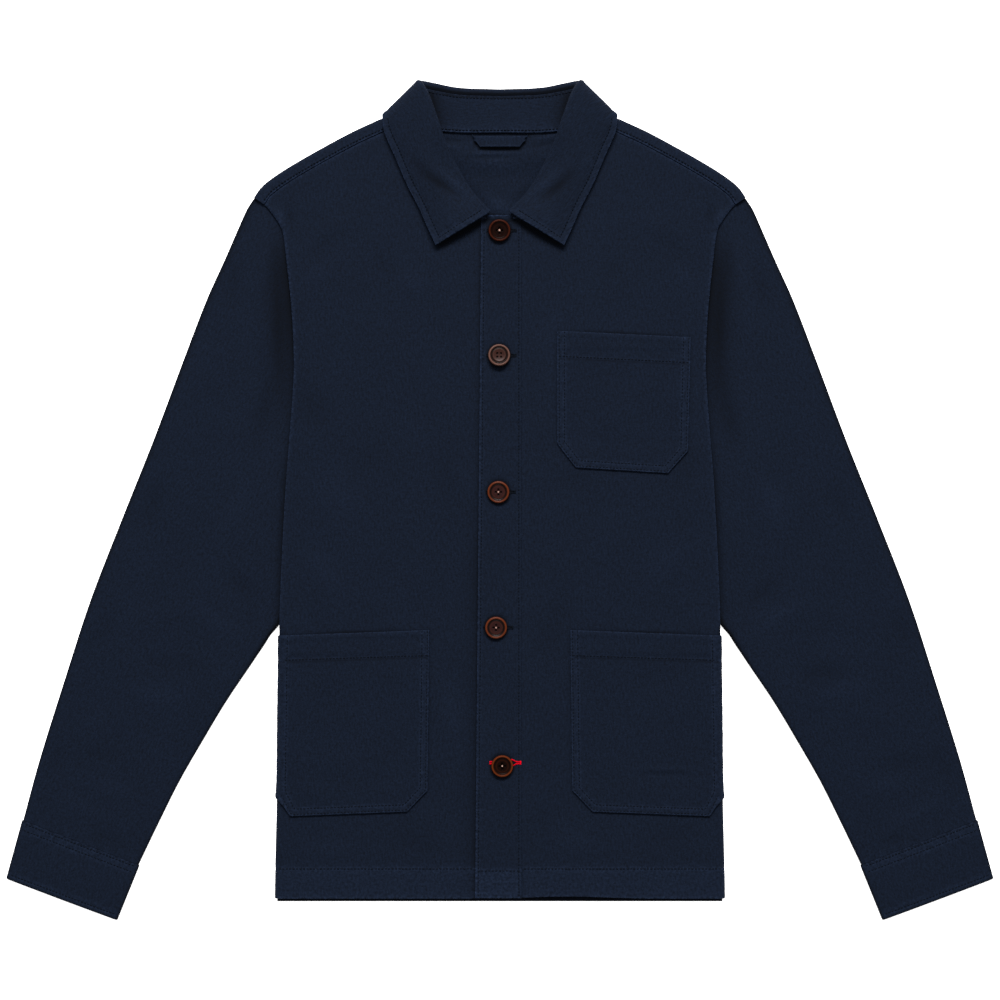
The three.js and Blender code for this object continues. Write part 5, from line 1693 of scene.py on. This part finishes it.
class JacketCloth(bpy.types.PropertyGroup):
    """Colours and sewing sizes of the cloth pieces"""

    twill_colour: colour_setting("Twill", "Colour of the dyed cloth", "#080e19")
    # The worn edge colour and its share also make the painted highlight on crease ridges and along some
    # edges.
    wear_and_highlight_colour: colour_setting("Worn edge", "Colour where edges have rubbed", "#2c3a56")
    wear_and_highlight_strength: FloatProperty(name="Wear", description="How much the edges and seams have rubbed", min=0, max=1,
                        default=0.16, subtype="FACTOR")
    thread_colour: colour_setting("Thread", "Colour of the sewing thread", "#05080e")
    red_colour: colour_setting("Last buttonhole", "Thread of the lowest buttonhole", "#b00014")
    stitch_pitch: length_setting("Stitch pitch", "Distance from stitch to stitch", 0.0031, 0.001)
    stitch_length: length_setting("Stitch length", "Length of thread that shows", 0.0024, 0.0005)
    thread_width: length_setting("Thread width", "Thickness of the sewing thread", 0.00075, 0.0001)


class JacketButtons(bpy.types.PropertyGroup):
    """Colours of the buttons"""

    dark_colour: colour_setting("Dark", "Darker brown of the buttons", "#070302")
    pale_colour: colour_setting("Pale", "Paler brown of the buttons", "#0f0504")
    # Rim, Chalky and Orange colour the crest ring, which is partly the rim's paler colour and partly painted
    # highlight.
    rim_colour: colour_setting("Rim", "Rubbed crest of the top button's rim", "#2a0f07")
    scuffed_colour: colour_setting("Scuffed", "Dish of the second button, rubbed pale", "#25130f")
    chalky_colour: colour_setting("Chalky", "Rim of the second button, rubbed pale", "#4a332c")
    dusty_colour: colour_setting("Dusty", "Dish of the third and fourth buttons", "#1f0d0c")
    orange_colour: colour_setting("Orange", "Rims of the three lowest buttons", "#481e0a")
    thread_colour: colour_setting("Thread", "Thread that holds the buttons", "#94776c")


class JacketStage(bpy.types.PropertyGroup):
    """Floor, light and camera"""

    view_width: length_setting("View width", "Width of floor that the camera sees", 0.9168, 0.1)
    lens: FloatProperty(name="Lens", description="Focal length in millimetres", default=100.0, min=10)
    key_power: FloatProperty(name="Key light", description="Power of the large light past the collar",
                             default=1085.0, unit="POWER", min=0)
    fill: FloatProperty(name="Fill", description="Brightness of the white surroundings", default=0.5, min=0)


# Operators


POCKETS = [
    ("pocket_chest", CHEST_POCKET, 1, "front_left"),
    ("pocket_lower_right", LOWER_POCKET, -1, "front_right"),
    ("pocket_lower_left", LOWER_POCKET, 1, "front_left"),
]


class JACKET_OT_back(bpy.types.Operator):
    """Make the back, with the strips that come over the shoulders"""

    bl_idname = "jacket.back"
    bl_label = "Back"

    def execute(self, context):
        make_back()
        sew_shoulders()
        return {"FINISHED"}


class JACKET_OT_fronts(bpy.types.Operator):
    """Make both fronts and sew their hems"""

    bl_idname = "jacket.fronts"
    bl_label = "Fronts"

    def execute(self, context):
        make_front(-1)
        make_front(1)
        sew_fronts()
        return {"FINISHED"}


class JACKET_OT_band(bpy.types.Operator):
    """Make the buttonhole band and its sewing"""

    bl_idname = "jacket.band"
    bl_label = "Front Band"

    def execute(self, context):
        make_band()
        sew_band()
        return {"FINISHED"}


class JACKET_OT_collar(bpy.types.Operator):
    """Make the stand and the fall of the collar"""

    bl_idname = "jacket.collar"
    bl_label = "Collar"

    def execute(self, context):
        make_stand()
        make_fall()
        make_loop()
        sew_collar()
        return {"FINISHED"}


class JACKET_OT_sleeves(bpy.types.Operator):
    """Make both sleeves and their cuffs"""

    bl_idname = "jacket.sleeves"
    bl_label = "Sleeves"

    def execute(self, context):
        for side in (-1, 1):
            make_sleeve(side)
            make_cuff(side)
        sew_cuffs()
        return {"FINISHED"}


class JACKET_OT_pockets(bpy.types.Operator):
    """Make the three patch pockets"""

    bl_idname = "jacket.pockets"
    bl_label = "Pockets"

    def execute(self, context):
        for name, spec, side, on in POCKETS:
            make_pocket(name, spec, side)
        sew_pockets()
        return {"FINISHED"}


class JACKET_OT_buttons(bpy.types.Operator):
    """Make the buttons, their thread and the buttonholes"""

    bl_idname = "jacket.buttons"
    bl_label = "Buttons"

    def execute(self, context):
        for index, place in enumerate(BUTTONS):
            make_button(index, place)
            make_button_thread(index, place)
            make_buttonhole(index, place)
        return {"FINISHED"}


class JACKET_OT_stage(bpy.types.Operator):
    """Make the floor, the light and the camera"""

    bl_idname = "jacket.stage"
    bl_label = "Stage"

    def execute(self, context):
        make_stage(context.scene)
        return {"FINISHED"}


SENSOR_WIDTH = 36


def make_stage(scene):
    """Lit white floor, white surroundings, one large soft light past the collar and one past the hem."""
    stage = scene.jacket_stage
    span = np.linspace(-12, 12, 3) / MM
    x, y = np.meshgrid(span, span)
    grid = np.stack([x, y, 0 * x - 0.3], axis=-1).reshape(-1, 3)
    mesh = bpy.data.meshes.new("floor")
    mesh.from_pydata((grid * MM).tolist(), [], [(0, 1, 4, 3), (1, 2, 5, 4), (3, 4, 7, 6), (4, 5, 8, 7)])
    mesh.materials.append(floor_material())
    floor = bpy.data.objects.new("floor", mesh)
    scene.collection.objects.link(floor)

    camera_data = bpy.data.cameras.new("camera")
    camera_data.lens = stage.lens
    camera_data.sensor_width = SENSOR_WIDTH
    camera = bpy.data.objects.new("camera", camera_data)
    height = stage.view_width * stage.lens / SENSOR_WIDTH + 0.005
    camera.location = (0.00014, -0.00018, height)
    scene.collection.objects.link(camera)
    scene.camera = camera

    for name, power, size, place in (
        ("key", stage.key_power, (4.35, 1.3), (0, 4.8, 4.2)),
        ("low_fill", stage.key_power * 0.035, (2.4, 1.0), (0, -2.6, 2.6)),
    ):
        data = bpy.data.lights.new(name, "AREA")
        data.shape = "RECTANGLE"
        data.size, data.size_y = size
        data.energy = power
        light = bpy.data.objects.new(name, data)
        light.location = place
        light.rotation_mode = "QUATERNION"
        light.rotation_quaternion = (Vector((0, 0, 0)) - Vector(place)).to_track_quat("-Z", "Y")
        scene.collection.objects.link(light)

    world = bpy.data.worlds.new("white_room")
    world.use_nodes = True
    scene.world = world
    background = world.node_tree.nodes["Background"]
    background.inputs["Color"].default_value = (1, 1, 1, 1)
    background.inputs["Strength"].default_value = stage.fill
    scene.view_settings.view_transform = "Standard"
    scene.view_settings.look = "None"


class JACKET_PT_sidebar(bpy.types.Panel):
    """Sizes, colours and steps of the jacket"""

    bl_idname = "JACKET_PT_sidebar"
    bl_label = "Chore Jacket"
    bl_space_type = "VIEW_3D"
    bl_region_type = "UI"
    bl_category = "Jacket"

    def draw(self, context):
        for settings in (context.scene.jacket_cloth, context.scene.jacket_buttons,
                         context.scene.jacket_stage):
            box = self.layout.box()
            for name in settings.__annotations__:
                box.prop(settings, name)
        column = self.layout.column(align=True)
        for step in STEPS:
            column.operator(step.bl_idname)


STEPS = (
    JACKET_OT_back, JACKET_OT_fronts, JACKET_OT_band, JACKET_OT_collar, JACKET_OT_sleeves,
    JACKET_OT_pockets, JACKET_OT_buttons, JACKET_OT_stage,
)
SETTINGS = (JacketCloth, JacketButtons, JacketStage)


def register():
    for kind in (*SETTINGS, *STEPS, JACKET_PT_sidebar):
        bpy.utils.register_class(kind)
    bpy.types.Scene.jacket_cloth = PointerProperty(type=JacketCloth)
    bpy.types.Scene.jacket_buttons = PointerProperty(type=JacketButtons)
    bpy.types.Scene.jacket_stage = PointerProperty(type=JacketStage)


def unregister():
    for name in ("jacket_cloth", "jacket_buttons", "jacket_stage"):
        delattr(bpy.types.Scene, name)
    for kind in reversed((*SETTINGS, *STEPS, JACKET_PT_sidebar)):
        bpy.utils.unregister_class(kind)


def main():
    register()
    bpy.ops.jacket.back()
    bpy.ops.jacket.fronts()
    bpy.ops.jacket.band()
    bpy.ops.jacket.collar()
    bpy.ops.jacket.sleeves()
    bpy.ops.jacket.pockets()
    bpy.ops.jacket.buttons()
    bpy.ops.jacket.stage()
    bpy.context.view_layer.update()


if __name__ == "__main__":
    main()
